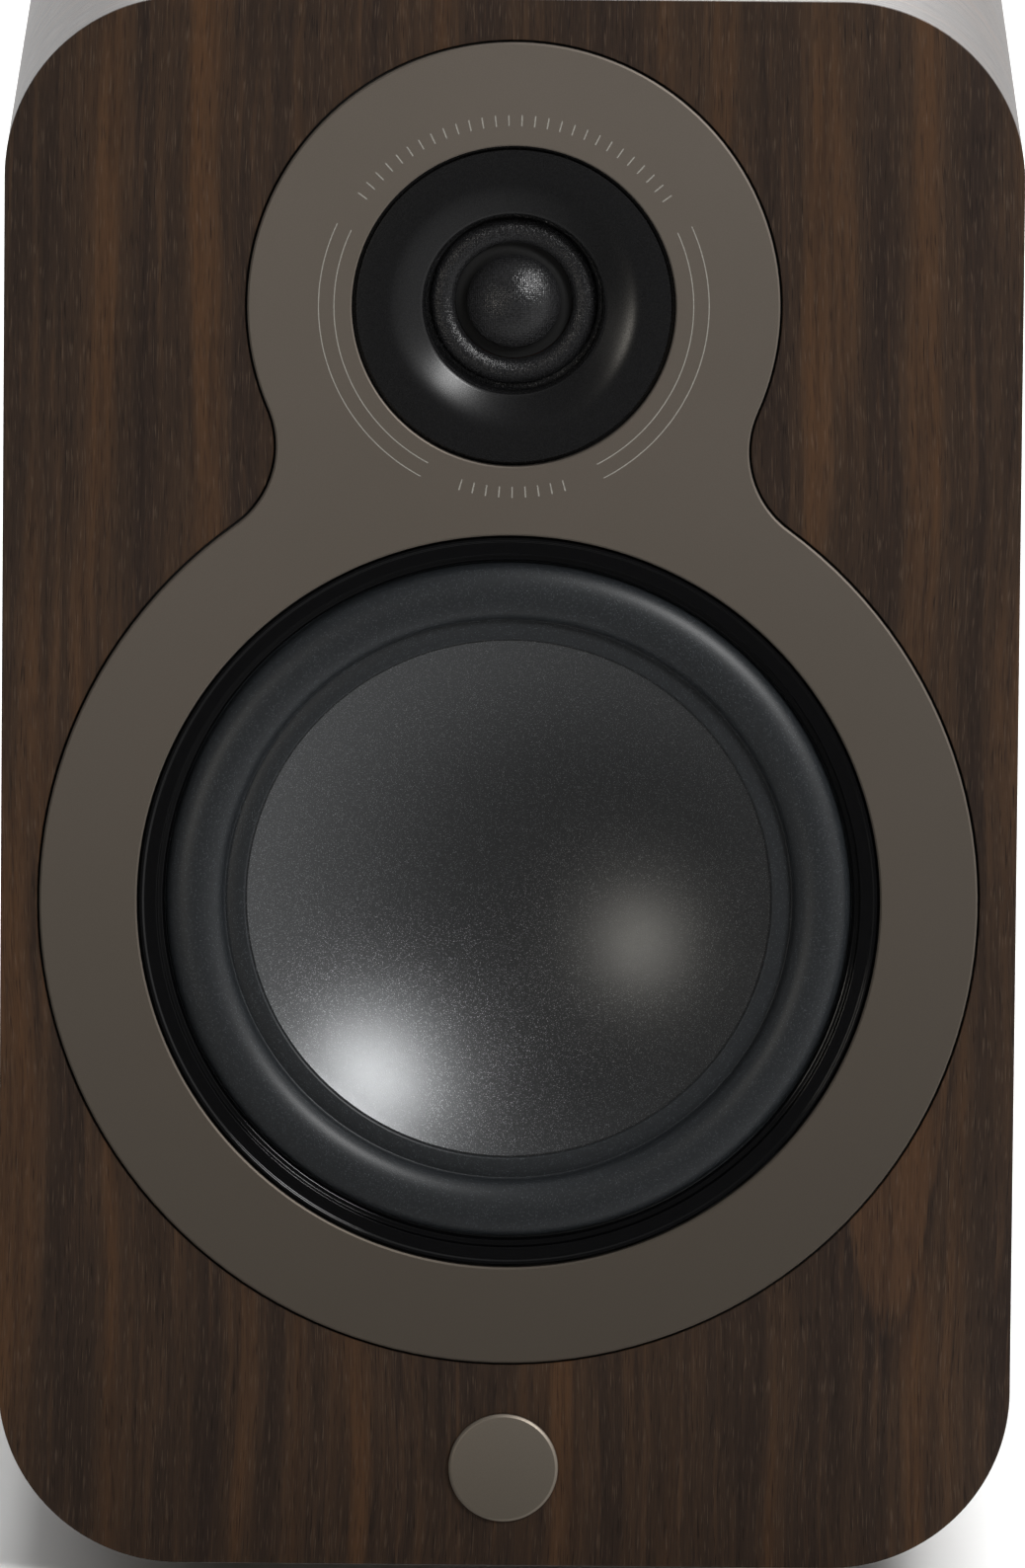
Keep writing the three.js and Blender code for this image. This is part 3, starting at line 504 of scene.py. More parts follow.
def coated_cloth(name, color, pitch, depth, **sockets):
    """Dark cloth under a shiny coating, whose crossing threads sparkle in the light; its colour is also
    painted lighter where the grit and threads stand high, as painted sparkle.
    """
    finish = Finish(name, color, **sockets)
    split = finish.node("ShaderNodeSeparateXYZ", {0: finish.place}).outputs
    turns = 4.44 / pitch  # about sqrt(2) * pi: diagonals one pitch apart
    diagonals = [
        finish.math("SINE", finish.math("MULTIPLY", finish.math(sign, split[0], split[2]), turns))
        for sign in ("ADD", "SUBTRACT")
    ]
    grit = finish.noise(finish.place, 1.4 / pitch, detail=1.5)
    weave = finish.math("MULTIPLY", diagonals[0], diagonals[1])
    height = finish.math("ADD", finish.math("MULTIPLY", weave, 0.35), finish.math("MULTIPLY", grit, 2.2))
    # Painted sparkle: the raised grit and threads are painted lighter in the base colour.
    finish.set("Base Color", finish.mix(finish.steps(height, 0.9, 1.6), color, scaled(color, 2.4)))
    rough = finish.shader.inputs["Roughness"].default_value
    finish.set("Roughness", finish.steps(grit, 0.35, 0.7, rough + 0.05, rough - 0.05))
    finish.bump(height, depth, 0.8)
    return finish.material


def woven(name, color, pitch, depth, **sockets):
    """Cloth threads that cross at right angles in x and z, with painted shade: the hollows between threads
    are painted darker than the crests.
    """
    finish = Finish(name, color, **sockets)
    split = finish.node("ShaderNodeSeparateXYZ", {0: finish.place}).outputs
    turns = 2 * math.pi / pitch
    warp = finish.math("SINE", finish.math("MULTIPLY", split[0], turns))
    weft = finish.math("SINE", finish.math("MULTIPLY", split[2], turns))
    weave = finish.math("MULTIPLY", warp, weft)
    fuzz = finish.noise(finish.place, 1.2 / pitch, detail=3)
    height = finish.math("ADD", weave, fuzz)
    # Painted shade: the crests are painted lighter than the hollows between threads.
    finish.set("Base Color", finish.mix(finish.steps(height, -0.4, 1.4), color, scaled(color, 1.7)))
    finish.bump(height, depth, 0.8)
    return finish.material


def wound(name, color, pitch, axis, **sockets):
    """Enamelled wire wound side by side, with painted shade in the grooves between turns."""
    finish = Finish(name, color, **sockets)
    split = finish.node("ShaderNodeSeparateXYZ", {0: finish.place}).outputs
    wire = finish.math("SINE", finish.math("MULTIPLY", split["xyz".index(axis)], 2 * math.pi / pitch))
    # Painted shade: the grooves between turns are painted darker.
    finish.set("Base Color", finish.mix(finish.steps(wire, -1, 0.4), scaled(color, 0.35), color))
    finish.bump(wire, pitch / 4, 1.0)
    return finish.material


front_wood = wood_finish("front_wood", "x", "z", "y", 0.5, 0.0, cathedral=(0.0622, BOTTOM + 0.041))
wrap_wood = wood_finish("wrap_wood", "y", "x", "z", 0.36, 0.25)
# The trim plate and the badge are painted darker at the bottom and lighter at the top: painted shade and
# painted light.
trim_metal = anodised_with_painted_shade("trim_metal", srgb(118, 109, 99), srgb(156, 146, 136),
                      BOTTOM + 0.01, TOP - 0.02, metallic=0.95, roughness=0.5)
badge_metal = anodised_with_painted_shade("badge_metal", srgb(152, 142, 129), srgb(160, 150, 138),
                       BADGE.z - 0.01, BADGE.z + 0.01, metallic=0.95, roughness=0.48)
print_white = grained("print_pale", srgb(142, 139, 131), 2500, 0.08, 0.05, roughness=0.6)
cone_finish = speckled("cone_charcoal", srgb(90, 91, 92), srgb(200, 202, 206), 7600, 0.33,
                       metallic=0.9, roughness=0.325)
rubber_finish = speckled("surround_rubber", srgb(32, 35, 38), srgb(80, 85, 90), 5200, 0.4, roughness=0.42)
gloss_black = grained("gloss_ring", srgb(6, 6, 7), 700, 0.2, 0.0, roughness=0.1, specular_ior_level=0.38)
face_black = grained("face_plastic", srgb(19, 19, 20), 3000, 0.15, 0.06, roughness=0.27,
                     specular_ior_level=0.45)
dome_finish = coated_cloth("dome_cloth", srgb(28, 28, 29), 0.00042, 0.00005, roughness=0.17)
roll_finish = coated_cloth("dome_roll", srgb(24, 24, 25), 0.00036, 0.00005, roughness=0.17)
black_plastic = grained("black_plastic", srgb(26, 26, 27), 2200, 0.2, 0.35, roughness=0.5)
back_paint = grained("back_paint", srgb(20, 20, 19), 1500, 0.25, 0.6, depth=0.00008,
                     roughness=0.66, specular_ior_level=0.3)
foot_rubber = grained("foot_rubber", srgb(24, 24, 24), 1800, 0.2, 0.4, roughness=0.85)
board_finish = grained("board", srgb(150, 118, 82), 900, 0.18, 0.3, depth=0.0001, roughness=0.85)
frame_paint = grained("driver_frame", srgb(30, 30, 32), 1400, 0.2, 0.4, roughness=0.5, metallic=0.3)
foam_finish = grained("gasket_foam", srgb(34, 34, 34), 2600, 0.35, 0.8, depth=0.0001, roughness=0.95)
# Black that stands in for shade in gaps and grooves: painted shade.
painted_shade_black = grained("painted_shade_black", srgb(8, 8, 8), 2600, 0.35, 0.4, roughness=0.8)
steel_finish = grained("motor_steel", srgb(166, 168, 172), 1600, 0.1, 0.15, metallic=1.0, roughness=0.38)
ferrite_finish = grained("ferrite", srgb(46, 46, 48), 1100, 0.25, 0.4, roughness=0.7)
nickel_finish = grained("neodymium", srgb(190, 191, 194), 900, 0.06, 0.08, metallic=1.0, roughness=0.22)
gold_finish = grained("gold_plate", srgb(205, 168, 88), 1300, 0.08, 0.08, metallic=1.0, roughness=0.24)
screw_finish = grained("screw_steel", srgb(46, 46, 48), 1500, 0.15, 0.2, metallic=0.85, roughness=0.4)
red_plastic = grained("red_plastic", srgb(150, 22, 24), 1500, 0.12, 0.15, roughness=0.32)
brown_board = grained("phenolic", srgb(122, 82, 42), 1200, 0.2, 0.25, roughness=0.65)
film_wrap = grained("capacitor_film", srgb(186, 158, 46), 700, 0.12, 0.2, roughness=0.45)
ceramic_finish = grained("resistor_ceramic", srgb(214, 210, 198), 1600, 0.08, 0.5,
                         depth=0.00008, roughness=0.85)
former_metal = grained("former", srgb(170, 170, 168), 1500, 0.08, 0.1, metallic=1.0, roughness=0.35)
red_wire = grained("red_wire", srgb(140, 30, 30), 1500, 0.1, 0.1, roughness=0.5)
dark_wire = grained("dark_wire", srgb(40, 40, 42), 1500, 0.1, 0.1, roughness=0.5)
copper_front = wound("copper_winding", srgb(186, 96, 46), 0.0004, "y", metallic=1.0, roughness=0.3)
copper_upright = wound("copper_coil", srgb(186, 96, 46), 0.0009, "z", metallic=1.0, roughness=0.3)
spider_cloth = woven("spider_cloth", srgb(178, 128, 52), 0.0007, 0.0001, roughness=0.85)
wadding_finish = grained("wadding", srgb(220, 217, 210), 260, 0.12, 1.0, depth=0.0015, roughness=1.0)
pale_floor = grained("floor", srgb(236, 236, 235), 300, 0.01, 0.05, roughness=0.55)

# ---- Cabinet ----------------------------------------------------------------------------

width = 2 * HALF_WIDTH / MM
height = (TOP - BOTTOM) / MM
depth = (REAR - FACE) / MM
centre = Vector((0, FACE, (TOP + BOTTOM) / 2))
cabinet = rounded_box(width, height, CORNER, centre)


def inside_cabinet(inset):
    """The cabinet's outline drawn in by a distance in mm."""
    return rounded_box(width - 2 * inset, height - 2 * inset, CORNER - inset, centre)


carcass_outside = inside_cabinet(VENEER + VENEER_GAP)
carcass_inside = inside_cabinet(VENEER + VENEER_GAP + WALL)
back_outline = inside_cabinet(VENEER + VENEER_GAP + WALL + PANEL_EDGE_GAP)


def make_front_veneer():
    piece = plate("front_veneer_sheet", [
        (cabinet, [(-0.25, 0), (-0.08, 0.06), (0, 0.22), (0, VENEER)]),
        (keyhole, [(TRIM_GAP + 0.1, 0), (TRIM_GAP, 0.1), (TRIM_GAP, VENEER)]),
    ])
    place(piece, front_wood, replaces=["front_veneer"])


def make_wrap():
    """The veneer round the sides, with the grain's length kept as a map."""
    start = VENEER + VENEER_GAP
    steps = [(0, start), (0, depth / 2), (0, depth - 0.4), (-0.15, depth - 0.1),
             (-0.35, depth), (-VENEER, depth), (-VENEER, start)]
    bm = bmesh.new()
    wrap = bm.loops.layers.uv.new("wrap")

    def from_below(growth):
        points = cabinet(growth)
        seam = len(points) * 3 // 4
        return points[seam:] + points[:seam]

    loops = [
        [bm.verts.new((x, FACE + y * MM, z)) for x, z in from_below(growth)] for growth, y in steps
    ]
    outer = from_below(0)
    run = [0.0]
    for k in range(len(outer)):
        run.append(run[-1] + math.dist(outer[k], outer[(k + 1) % len(outer)]))
    for j, a in enumerate(loops):
        b = loops[(j + 1) % len(loops)]
        for k in range(len(a)):
            n = (k + 1) % len(a)
            face = bm.faces.new((a[k], a[n], b[n], b[k]))
            for loop in face.loops:
                along = run[k] if loop.vert in (a[k], b[k]) else run[k + 1]
                loop[wrap].uv = (along, loop.vert.co.y)
    piece = finish_mesh("side_veneer_wrap", bm)
    place(piece, wrap_wood, replaces=["side_veneer"])


def make_trim():
    piece = plate("keyhole_trim", [
        (keyhole, chamfered(TRIM_FRONT, TRIM_BACK, 0.28)),
        (circle(WOOFER, WOOFER_HOLE, 200), chamfered(TRIM_FRONT, TRIM_BACK, 0.28, -1)),
        (circle(TWEETER, TWEETER_HOLE), chamfered(TRIM_FRONT, TRIM_BACK, 0.22, -1)),
    ])
    place(piece, trim_metal, replaces=["trim_plate"])


def print_band(name, radius, width_mm, start, end):
    """A thin printed mark on the trim plate, as a flat arc about the tweeter."""
    steps = max(1, round((end - start) / math.radians(1.5)))
    inner, outer = radius - width_mm / 2, radius + width_mm / 2
    back = TRIM_FRONT - 0.005
    front = back - PRINT_SKIN
    rows = []
    for k in range(steps + 1):
        angle = start + (end - start) * k / steps
        rows.append([
            (TWEETER.x + r * MM * math.cos(angle), FACE + y * MM, TWEETER.z + r * MM * math.sin(angle))
            for r, y in ((inner, back), (outer, back), (outer, front), (inner, front))
        ])
    place(loft(name, rows), print_white)


def make_print():
    """Two fine rings each side of the tweeter, and plain ticks between them."""
    for side, (start, end) in {"right": (-62, 25), "left": (155, 242)}.items():
        for label, radius in (("inner", 29.1), ("outer", 31.6)):
            print_band(f"dial_line_{label}_{side}", radius, 0.17, math.radians(start), math.radians(end))
    tick_radius, tick_length, half_tick = 30.4, 1.8, 0.11
    spread = half_tick / tick_radius
    for label, first, last, count in (("top", 36, 144, 28), ("low", -106, -74, 9)):
        for k in range(count):
            angle = math.radians(first + (last - first) * k / (count - 1))
            print_band(f"dial_tick_{label}_{k + 1}", tick_radius, tick_length,
                       angle - spread, angle + spread)


def make_badge():
    profile = [(0, -0.1), (0, -0.9), (8.5, -0.9), (8.95, -0.55), (8.95, -0.1)]
    turn("badge_disc", profile, BADGE, badge_metal, "badge", segments=128, ease=0.12)


def make_baffle():
    """The front board: a thin rim round the plate's rebate, and the board that holds the drivers. The rim
    and a thin sheet under the plate's edge are black as painted shade, so that the gap round the plate reads
    dark."""
    rebate = TRIM_BACK + 0.1
    start = rebate + 0.05
    rim = plate("front_baffle_rim", [
        (carcass_outside, [(0, VENEER + VENEER_GAP), (0, rebate)]),
        (keyhole, [(TRIM_GAP, VENEER + VENEER_GAP), (TRIM_GAP, rebate)]),
    ])
    # Painted shade: the rim is black so the gap round the trim plate reads dark.
    place(rim, painted_shade_black)
    board = plate("front_baffle_board", [
        (carcass_outside, [(0, start), (0, BAFFLE_BACK)]),
        (circle(WOOFER, 63.3, 200), [(0, start), (0, 7.0), (-5.2, 7.0), (-5.2, BAFFLE_BACK)]),
        (circle(TWEETER, 30.3), [(0, start), (0, 4.3), (-7.7, 4.3), (-7.7, BAFFLE_BACK)]),
    ])
    place(board, board_finish, replaces=["front_baffle"])
    # Painted shade: a thin black sheet under the plate's edge darkens the gap.
    gap_shade = plate("trim_gap_shade_sheet", [
        (keyhole, [(0.38, 1.52), (0.38, 1.58)]), (keyhole, [(-3, 1.52), (-3, 1.58)]),
    ])
    place(gap_shade, painted_shade_black)


def make_back_panel():
    front = depth - WALL
    piece = plate("back_panel_board", [
        (back_outline, [(0, front), (0, depth - 0.6), (-0.5, depth)]),
        (circle(PORT, PORT_HOLE, 96), [(0, front), (0, depth)]),
        (rounded_box(50, 32, 6, TERMINAL), [(0, front), (0, depth)]),
    ])
    place(piece, back_paint, replaces=["back_panel"])


def make_shell():
    """The board carcass, with a painted rear edge."""
    painted = 2.6
    start, edge = BAFFLE_BACK + 0.1, depth - painted
    shell = plate("cabinet_carcass", [
        (carcass_outside, [(0, start), (0, edge)]), (carcass_inside, [(0, start), (0, edge)]),
    ])
    place(shell, board_finish, replaces=["cabinet_shell"])
    rim = plate("rear_edge_paint", [
        (carcass_outside, [(0, edge + 0.05), (0, depth - 0.2), (-0.2, depth)]),
        (carcass_inside, [(0, edge + 0.05), (0, depth - 0.2), (0.2, depth)]),
    ])
    place(rim, back_paint)


def upright_lathe(name, profile, spot, segments=64):
    """A solid turned about an upright axis: (radius, level) in metres. A profile that
    doesn't start and end on the axis closes on itself."""
    bm = bmesh.new()
    rings = [
        [bm.verts.new((spot.x + r * math.cos(2 * k * math.pi / segments),
                       spot.y + r * math.sin(2 * k * math.pi / segments), z)) for k in range(segments)]
        if r else [bm.verts.new((spot.x, spot.y, z))]
        for r, z in profile
    ]
    join_rings(bm, rings)
    return finish_mesh(name, bm)


def make_feet():
    for end in ("front", "rear"):
        for side in ("left", "right"):
            node = f"foot_{end}_{side}"
            low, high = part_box(node)
            profile = [(0, low.z), (0.0048, low.z), (0.0053, low.z + 0.0005), (0.0056, low.z),
                       (0.0069, low.z), (0.0076, low.z + 0.0004), (0.008, high.z), (0, high.z)]
            piece = upright_lathe(f"rubber_{node}", profile, (low + high) / 2)
            place(piece, foot_rubber, replaces=[node])


make_front_veneer()
make_wrap()
make_trim()
make_print()
make_badge()
make_baffle()
make_back_panel()
make_shell()
make_feet()

# ---- Mid/bass driver --------------------------------------------------------------------


def radial_weights(piece, hub, inner, outer):
    """A ring that follows the cone inside one radius and the frame outside another."""
    attribute = piece.data.attributes["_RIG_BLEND"]
    for vertex, item in zip(piece.data.vertices, attribute.data):
        reach = math.hypot(vertex.co.x - hub.x, vertex.co.z - hub.z) / MM
        share = min(1, max(0, (outer - reach) / (outer - inner)))
        item.value = share * share * (3 - 2 * share)


def flexing(piece, material, moving, hub, inner, outer, node):
    above = hub + Vector((0, 0, outer * MM))
    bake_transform(piece, "root", moving, start=above, end=hub)
    radial_weights(piece, hub, inner, outer)
    place(piece, material, replaces=[node])


def make_trim_ring():
    profile = [(57.2, 0.4), (59.2, 0.4), (59.5, 0.1), (59.95, 0.1), (59.95, 2.5), (55.9, 2.5),
               (55.9, 1.9), (56.3, 1.5), (57.0, 1.4)]
    turn("woofer_gloss_ring", profile, WOOFER, gloss_black, "woofer_trim_ring", segments=200, ease=0.12)


def make_surround():
    half = (ROLL_OUT - ROLL_IN) / 2
    mid = (ROLL_OUT + ROLL_IN) / 2

    rise = 3.3

    def side(inset, base):
        return [
            (mid - (half - inset) * math.cos(math.pi * k / 24),
             base - rise * math.sin(math.pi * k / 24) ** 0.9)
            for k in range(25)
        ]

    front = [(42.75, 2.95), (43.0, 2.75), (45.4, 2.7), (45.9, 2.95), (46.1, 2.95)]
    outer = [(55.75, 2.85), (56.1, 2.7), (60, 2.7), (60, 3.35)]
    profile = front + side(0, 2.7) + outer + side(0.7, 3.4)[::-1] + [(45.9, 3.45), (42.75, 3.4)]
    piece = lathe("woofer_roll_surround", profile, WOOFER, 200, ease=0.1)
    flexing(piece, rubber_finish, "woofer_moving", WOOFER, 46, 56, "woofer_surround")


def dish(radius):
    sphere = (CONE**2 + CONE_DEPTH**2) / (2 * CONE_DEPTH)
    return CONE_EDGE + CONE_DEPTH - sphere + math.sqrt(sphere**2 - radius**2)


def make_cone():
    radii = [CONE * k / 30 for k in range(30)] + [CONE - 0.15]
    front = [(r, dish(r)) for r in radii] + [(CONE + 0.1, CONE_EDGE - 0.05), (45.5, CONE_EDGE)]
    back = [(45.5, CONE_EDGE + 0.8), (CONE, CONE_EDGE + 0.8)] + [(r, dish(r) + 0.8) for r in radii[::-1]]
    turn("woofer_dish_cone", front + back, WOOFER, cone_finish, "woofer_cone", "woofer_moving", 180)


def make_woofer_motor():
    front = 35.8
    yoke = [(3.5, front), (12, front), (12, 55), (37, 55), (37, 60), (3.5, 60)]
    turn("woofer_gasket_ring", ring(58.5, 63, 5.8, 6.8), WOOFER, foam_finish, "woofer_gasket", ease=0.3)
    turn("woofer_front_pole_plate", ring(13.65, 35, front, front + 5), WOOFER, steel_finish,
         "woofer_top_plate", ease=0.5)
    turn("woofer_ferrite_ring", ring(18.2, 40, 40.9, 54.9), WOOFER, ferrite_finish, "woofer_magnet",
         ease=1.2)
    turn("woofer_yoke", yoke, WOOFER, steel_finish, "woofer_pole_yoke", ease=0.6)
    turn("woofer_former_tube", ring(12.42, 12.7, dish(12.4) + 0.9, 45.8), WOOFER, former_metal,
         "woofer_coil_former", "woofer_moving", segments=96, ease=0.05)
    turn("woofer_winding_wire", ring(12.8, 13.15, 31.8, 44.8), WOOFER, copper_front,
         "woofer_coil_winding", "woofer_moving", 96, 0.1)


def make_spider():
    base = 27.3

    def side(level):
        waves = [
            (15.8 + 14.2 * k / 60, level - 1.3 * math.sin(k * math.pi / 7.5)) for k in range(61)
        ]
        return [(12.82, level)] + waves + [(34.4, level)]

    profile = side(base - 0.45) + side(base)[::-1]
    piece = lathe("woofer_corrugated_spider", profile, WOOFER, 128)
    flexing(piece, spider_cloth, "woofer_moving", WOOFER, 14, 31, "woofer_spider")


make_trim_ring()
make_surround()
make_cone()
make_woofer_motor()
make_spider()

# ---- Tweeter ----------------------------------------------------------------------------


def make_tweeter_face():
    rim, mouth, throat, slope, bend = 21, 15.3, 14.3, 0.52, 2.6
    horn = []
    for k in range(20):
        run = (rim - mouth) * k / 19
        horn.append((rim - run, slope * (math.hypot(run, bend) - bend)))
    edge = horn[-1][1]
    for k in range(1, 11):
        angle = math.radians(15 + 7.5 * k)
        horn.append((mouth - (mouth - throat) * math.sin(angle), edge + 2.34 * (1 - math.cos(angle))))
    back = [(throat, 6.4), (21, 6.4), (21, 4.2), (30, 4.2), (30, 1.75), (25.55, 1.75)]
    profile = [(25.55, 0)] + horn + back
    turn("tweeter_horn_plate", profile, TWEETER, face_black, "tweeter_faceplate", segments=180, ease=0.2)


def make_tweeter_dome():
    """A small dome that dips to a groove, a black ring of painted shade in that groove, and the half roll
    that carries it.
    """
    top, radius, sphere, skin = 1.5, 7.3, 9.4, 0.3

    def side(inset):
        rows = []
        for k in range(25):
            r = radius * k / 24
            rows.append((r, top + sphere - math.sqrt(sphere**2 - r**2) + inset))
        return rows + [(7.65, 6.0 + inset), (8.1, 6.7 + inset), (8.7, 6.95 + inset), (9.46, 6.95 + inset)]

    turn("tweeter_soft_dome", side(0) + side(skin)[::-1], TWEETER, dome_finish, "tweeter_dome",
         "tweeter_moving", segments=128)
    # Painted shade: a black ring in the groove round the dome, so the groove reads dark.
    groove_shade = [(7.62, 5.85), (7.95, 6.42), (8.5, 6.78), (9.44, 6.86), (9.44, 6.92), (8.6, 6.9),
            (8.05, 6.6), (7.62, 5.92)]
    turn("tweeter_groove_shade_ring", groove_shade, TWEETER, painted_shade_black, None, "tweeter_moving", 128)

    crest, reach, rise, level = 11.6, 2.1, 1.9, 6.6

    def roll(inset, start):
        return [
            (crest - (reach - inset) * math.cos(math.pi * k / 20),
             start - rise * math.sin(math.pi * k / 20) ** 0.85)
            for k in range(21)
        ]

    profile = roll(0, level) + [(13.9, level), (15.8, level), (15.8, level + 0.4)]
    profile += roll(0.35, level + 0.4)[::-1]
    surround = lathe("tweeter_half_roll", profile, TWEETER, 160)
    flexing(surround, roll_finish, "tweeter_moving", TWEETER, 9.6, 13.5, "tweeter_surround")


def make_tweeter_motor():
    turn("tweeter_coil", ring(9.52, 10, 7.4, 11.8), TWEETER, copper_front, "tweeter_voice_coil",
         "tweeter_moving", 96, 0.08)
    turn("tweeter_pole_disc", ring(0, 9.28, 8.3, 10.7), TWEETER, steel_finish, "tweeter_pole_tip",
         segments=96, ease=0.3)
    turn("tweeter_magnet_slug", ring(0, 8.2, 10.8, 15.8), TWEETER, nickel_finish, "tweeter_magnet",
         segments=96, ease=0.4)
    cup = [(10.62, 8.3), (14.2, 8.3), (14.2, 18.9), (0, 18.9), (0, 15.9), (10.62, 15.9)]
    turn("tweeter_motor_cup", cup, TWEETER, steel_finish, "tweeter_cup", segments=96, ease=0.4)
    housing = [(16.15, 6.55), (21.9, 6.55), (21.9, 25.5), (19, 28.5), (0, 28.5), (0, 26), (12.2, 26),
               (12.2, 19), (14.35, 19), (14.35, 7.95), (16.15, 7.95)]
    turn("tweeter_back_chamber", housing, TWEETER, black_plastic, "tweeter_rear_housing",
         segments=96, ease=0.6)


make_tweeter_face()
make_tweeter_dome()
make_tweeter_motor()

# ---- Port and terminals -----------------------------------------------------------------


def make_port():
    mouth, length, flare = depth + 2.6, 92, 6

    def curve(end, direction):
        return [
            (17 + flare * (1 - math.cos(math.pi * k / 24)),
             end - direction * flare * (1 - math.sin(math.pi * k / 24)))
            for k in range(13)
        ]

    inner_end = mouth - length
    profile = curve(mouth, 1) + [
        (28, mouth), (29, mouth - 1), (29, depth + 0.1), (19.5, depth + 0.1),
        (19.5, inner_end + flare), (24.4, inner_end),
    ] + curve(inner_end, -1)[::-1]
    turn("rear_port", profile, PORT, black_plastic, "port_tube", segments=128, ease=0.4)


def make_terminals():
    front, back = depth + 0.1, depth + 3.1
    steps = [(0, front), (0, back - 1.2), (-0.35, back - 0.35), (-1.2, back), (-3, back),
             (-3.5, back - 0.5), (-5, back - 0.5)]
    piece = plate("terminal_cup_plate", [(rounded_box(72, 54, 6, TERMINAL), steps)] + [
        (circle(middle(f"post_stud_{side}"), 3.3, 48), [(0, front), (0, back - 0.8), (0.3, back - 0.5)])
        for side in ("red", "black")
    ])
    place(piece, black_plastic, replaces=["terminal_plate"])
    make_post("red", red_plastic)
    make_post("black", black_plastic)


def make_post(side, cap_finish):
    hub = middle(f"post_stud_{side}")
    bore, loose = 2.02, 3.32
    low, high = span(f"post_stud_{side}")
    thread = [(2.98 if k % 2 else 2.62, low + 0.8 + k * 0.4) for k in range(46)]
    profile = [(0, low), (2.5, low)] + thread + [
        (2.9, high - 0.4), (2.6, high), (2.15, high), (bore, high - 0.3), (bore, high - 15), (0, high - 16),
    ]
    turn(f"stud_{side}", profile, hub, gold_finish, f"post_stud_{side}", segments=64)

    start, end = span(f"post_cap_{side}")

    def knurl(radius, level, angle):
        grip = 1 if start + 2.2 < level < end - 2.6 and radius > 5 else 0
        return 1 - 0.035 * grip * (0.5 + 0.5 * math.cos(18 * angle))

    rows = [(6.1, start), (6.6, start + 0.3), (6.6, start + 1.9), (6.2, start + 2.2)]
    rows += [(6.75, start + 2.5 + k) for k in range(8)]
    rows += [(6.75, end - 2.8), (6.3, end - 2.5), (6.5, end - 2.1), (6.5, end - 0.8), (5.8, end),
             (4.4, end), (4.1, end - 0.5), (loose, end - 0.5), (loose, start)]
    turn(f"cap_{side}", rows, hub, cap_finish, f"post_cap_{side}", f"{side}_cap", ripple=knurl)

    collar = ring(loose, 6.2, *span(f"post_collar_{side}"))
    turn(f"collar_{side}", collar, hub, black_plastic, f"post_collar_{side}", f"{side}_collar",
         segments=96, ease=0.5)

    def flats(radius, level, angle):
        if radius < 4:
            return 1
        return math.cos(math.pi / 6) / math.cos((angle % (math.pi / 3)) - math.pi / 6)

    first, last = span(f"post_nut_{side}")
    nut = [(loose, first), (4.9, first), (5.35, first + 0.4), (5.35, last - 0.4), (4.9, last),
           (loose, last)]
    turn(f"hex_nut_{side}", nut, hub, gold_finish, f"post_nut_{side}", segments=96, ripple=flats)


def make_screws():
    """Round heads with a cross recess cut in, on a plain shank with a raised thread."""
    rows = [(f"woofer_screw_{k}", 1) for k in (1, 2, 3, 4)]
    rows += [(f"tweeter_screw_{k}", 1) for k in (1, 2)]
    rows += [(f"terminal_screw_{k}", -1) for k in (1, 2, 3, 4)]
    for node, facing in rows:
        first, last = span(node)
        head = first if facing == 1 else last
        reach = last - first

        def step(radius, back):
            return radius, head + facing * back

        thread = [step(1.72 if k % 2 else 1.35, 2.4 + k * 0.45) for k in range(24)]
        profile = [step(0, 0.9), step(0.75, 0.9), step(1.5, 0.05), step(2.6, 0.15), step(3.05, 0.7),
                   step(3.1, 1.85), step(1.5, 1.95)] + thread + [step(0.2, reach), step(0, reach)]

        def cross(radius, level, angle):
            if radius > 1.6 or abs(level - head) > 1:
                return 1
            return 0.45 + 0.55 * abs(math.cos(2 * angle)) ** 3

        turn(f"{node}_cross", profile, middle(node), screw_finish, node, segments=64, ripple=cross)


make_port()
make_terminals()
make_screws()

# ---- Crossover, leads and wadding -------------------------------------------------------


def rounded_solid(name, low, high, radius, levels=3):
    """A box whose edges are beveled to a small radius."""
    bm = bmesh.new()
    bmesh.ops.create_cube(bm, size=1)
    size = high - low
    for vertex in bm.verts:
        vertex.co = low + Vector((
            (vertex.co.x + 0.5) * size.x, (vertex.co.y + 0.5) * size.y, (vertex.co.z + 0.5) * size.z,
        ))
    bmesh.ops.bevel(bm, geom=bm.edges[:], offset=radius, segments=levels, affect="EDGES")
    return finish_mesh(name, bm)


def bar(name, path, radius, sides=12):
    """A round wire along a list of points in metres."""
    rows = []
    points = [Vector(p) for p in path]
    for k, point in enumerate(points):
        ahead = points[min(k + 1, len(points) - 1)] - points[max(k - 1, 0)]
        facing = ahead.to_track_quat("Z", "Y").to_matrix()
        angles = [2 * math.pi * i / sides for i in range(sides)]
        rows.append([
            point + facing @ Vector((radius * math.cos(a), radius * math.sin(a), 0)) for a in angles
        ])
    return loft(name, rows)


def make_crossover():
    low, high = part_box("crossover_board")
    place(rounded_solid("crossover_circuit_board", low, high, 0.0003), brown_board,
          replaces=["crossover_board"])
    low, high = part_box("crossover_resistor")
    place(rounded_solid("power_resistor", low, high, 0.0006), ceramic_finish,
          replaces=["crossover_resistor"])
    start, end = span("crossover_capacitor")
    can = [(0, start + 0.6), (7.2, start + 0.6), (7.95, start), (7.95, end), (7.2, end - 0.6),
           (0, end - 0.6)]
    turn("film_capacitor", can, middle("crossover_capacitor"), film_wrap, "crossover_capacitor",
         segments=96, ease=0.5)


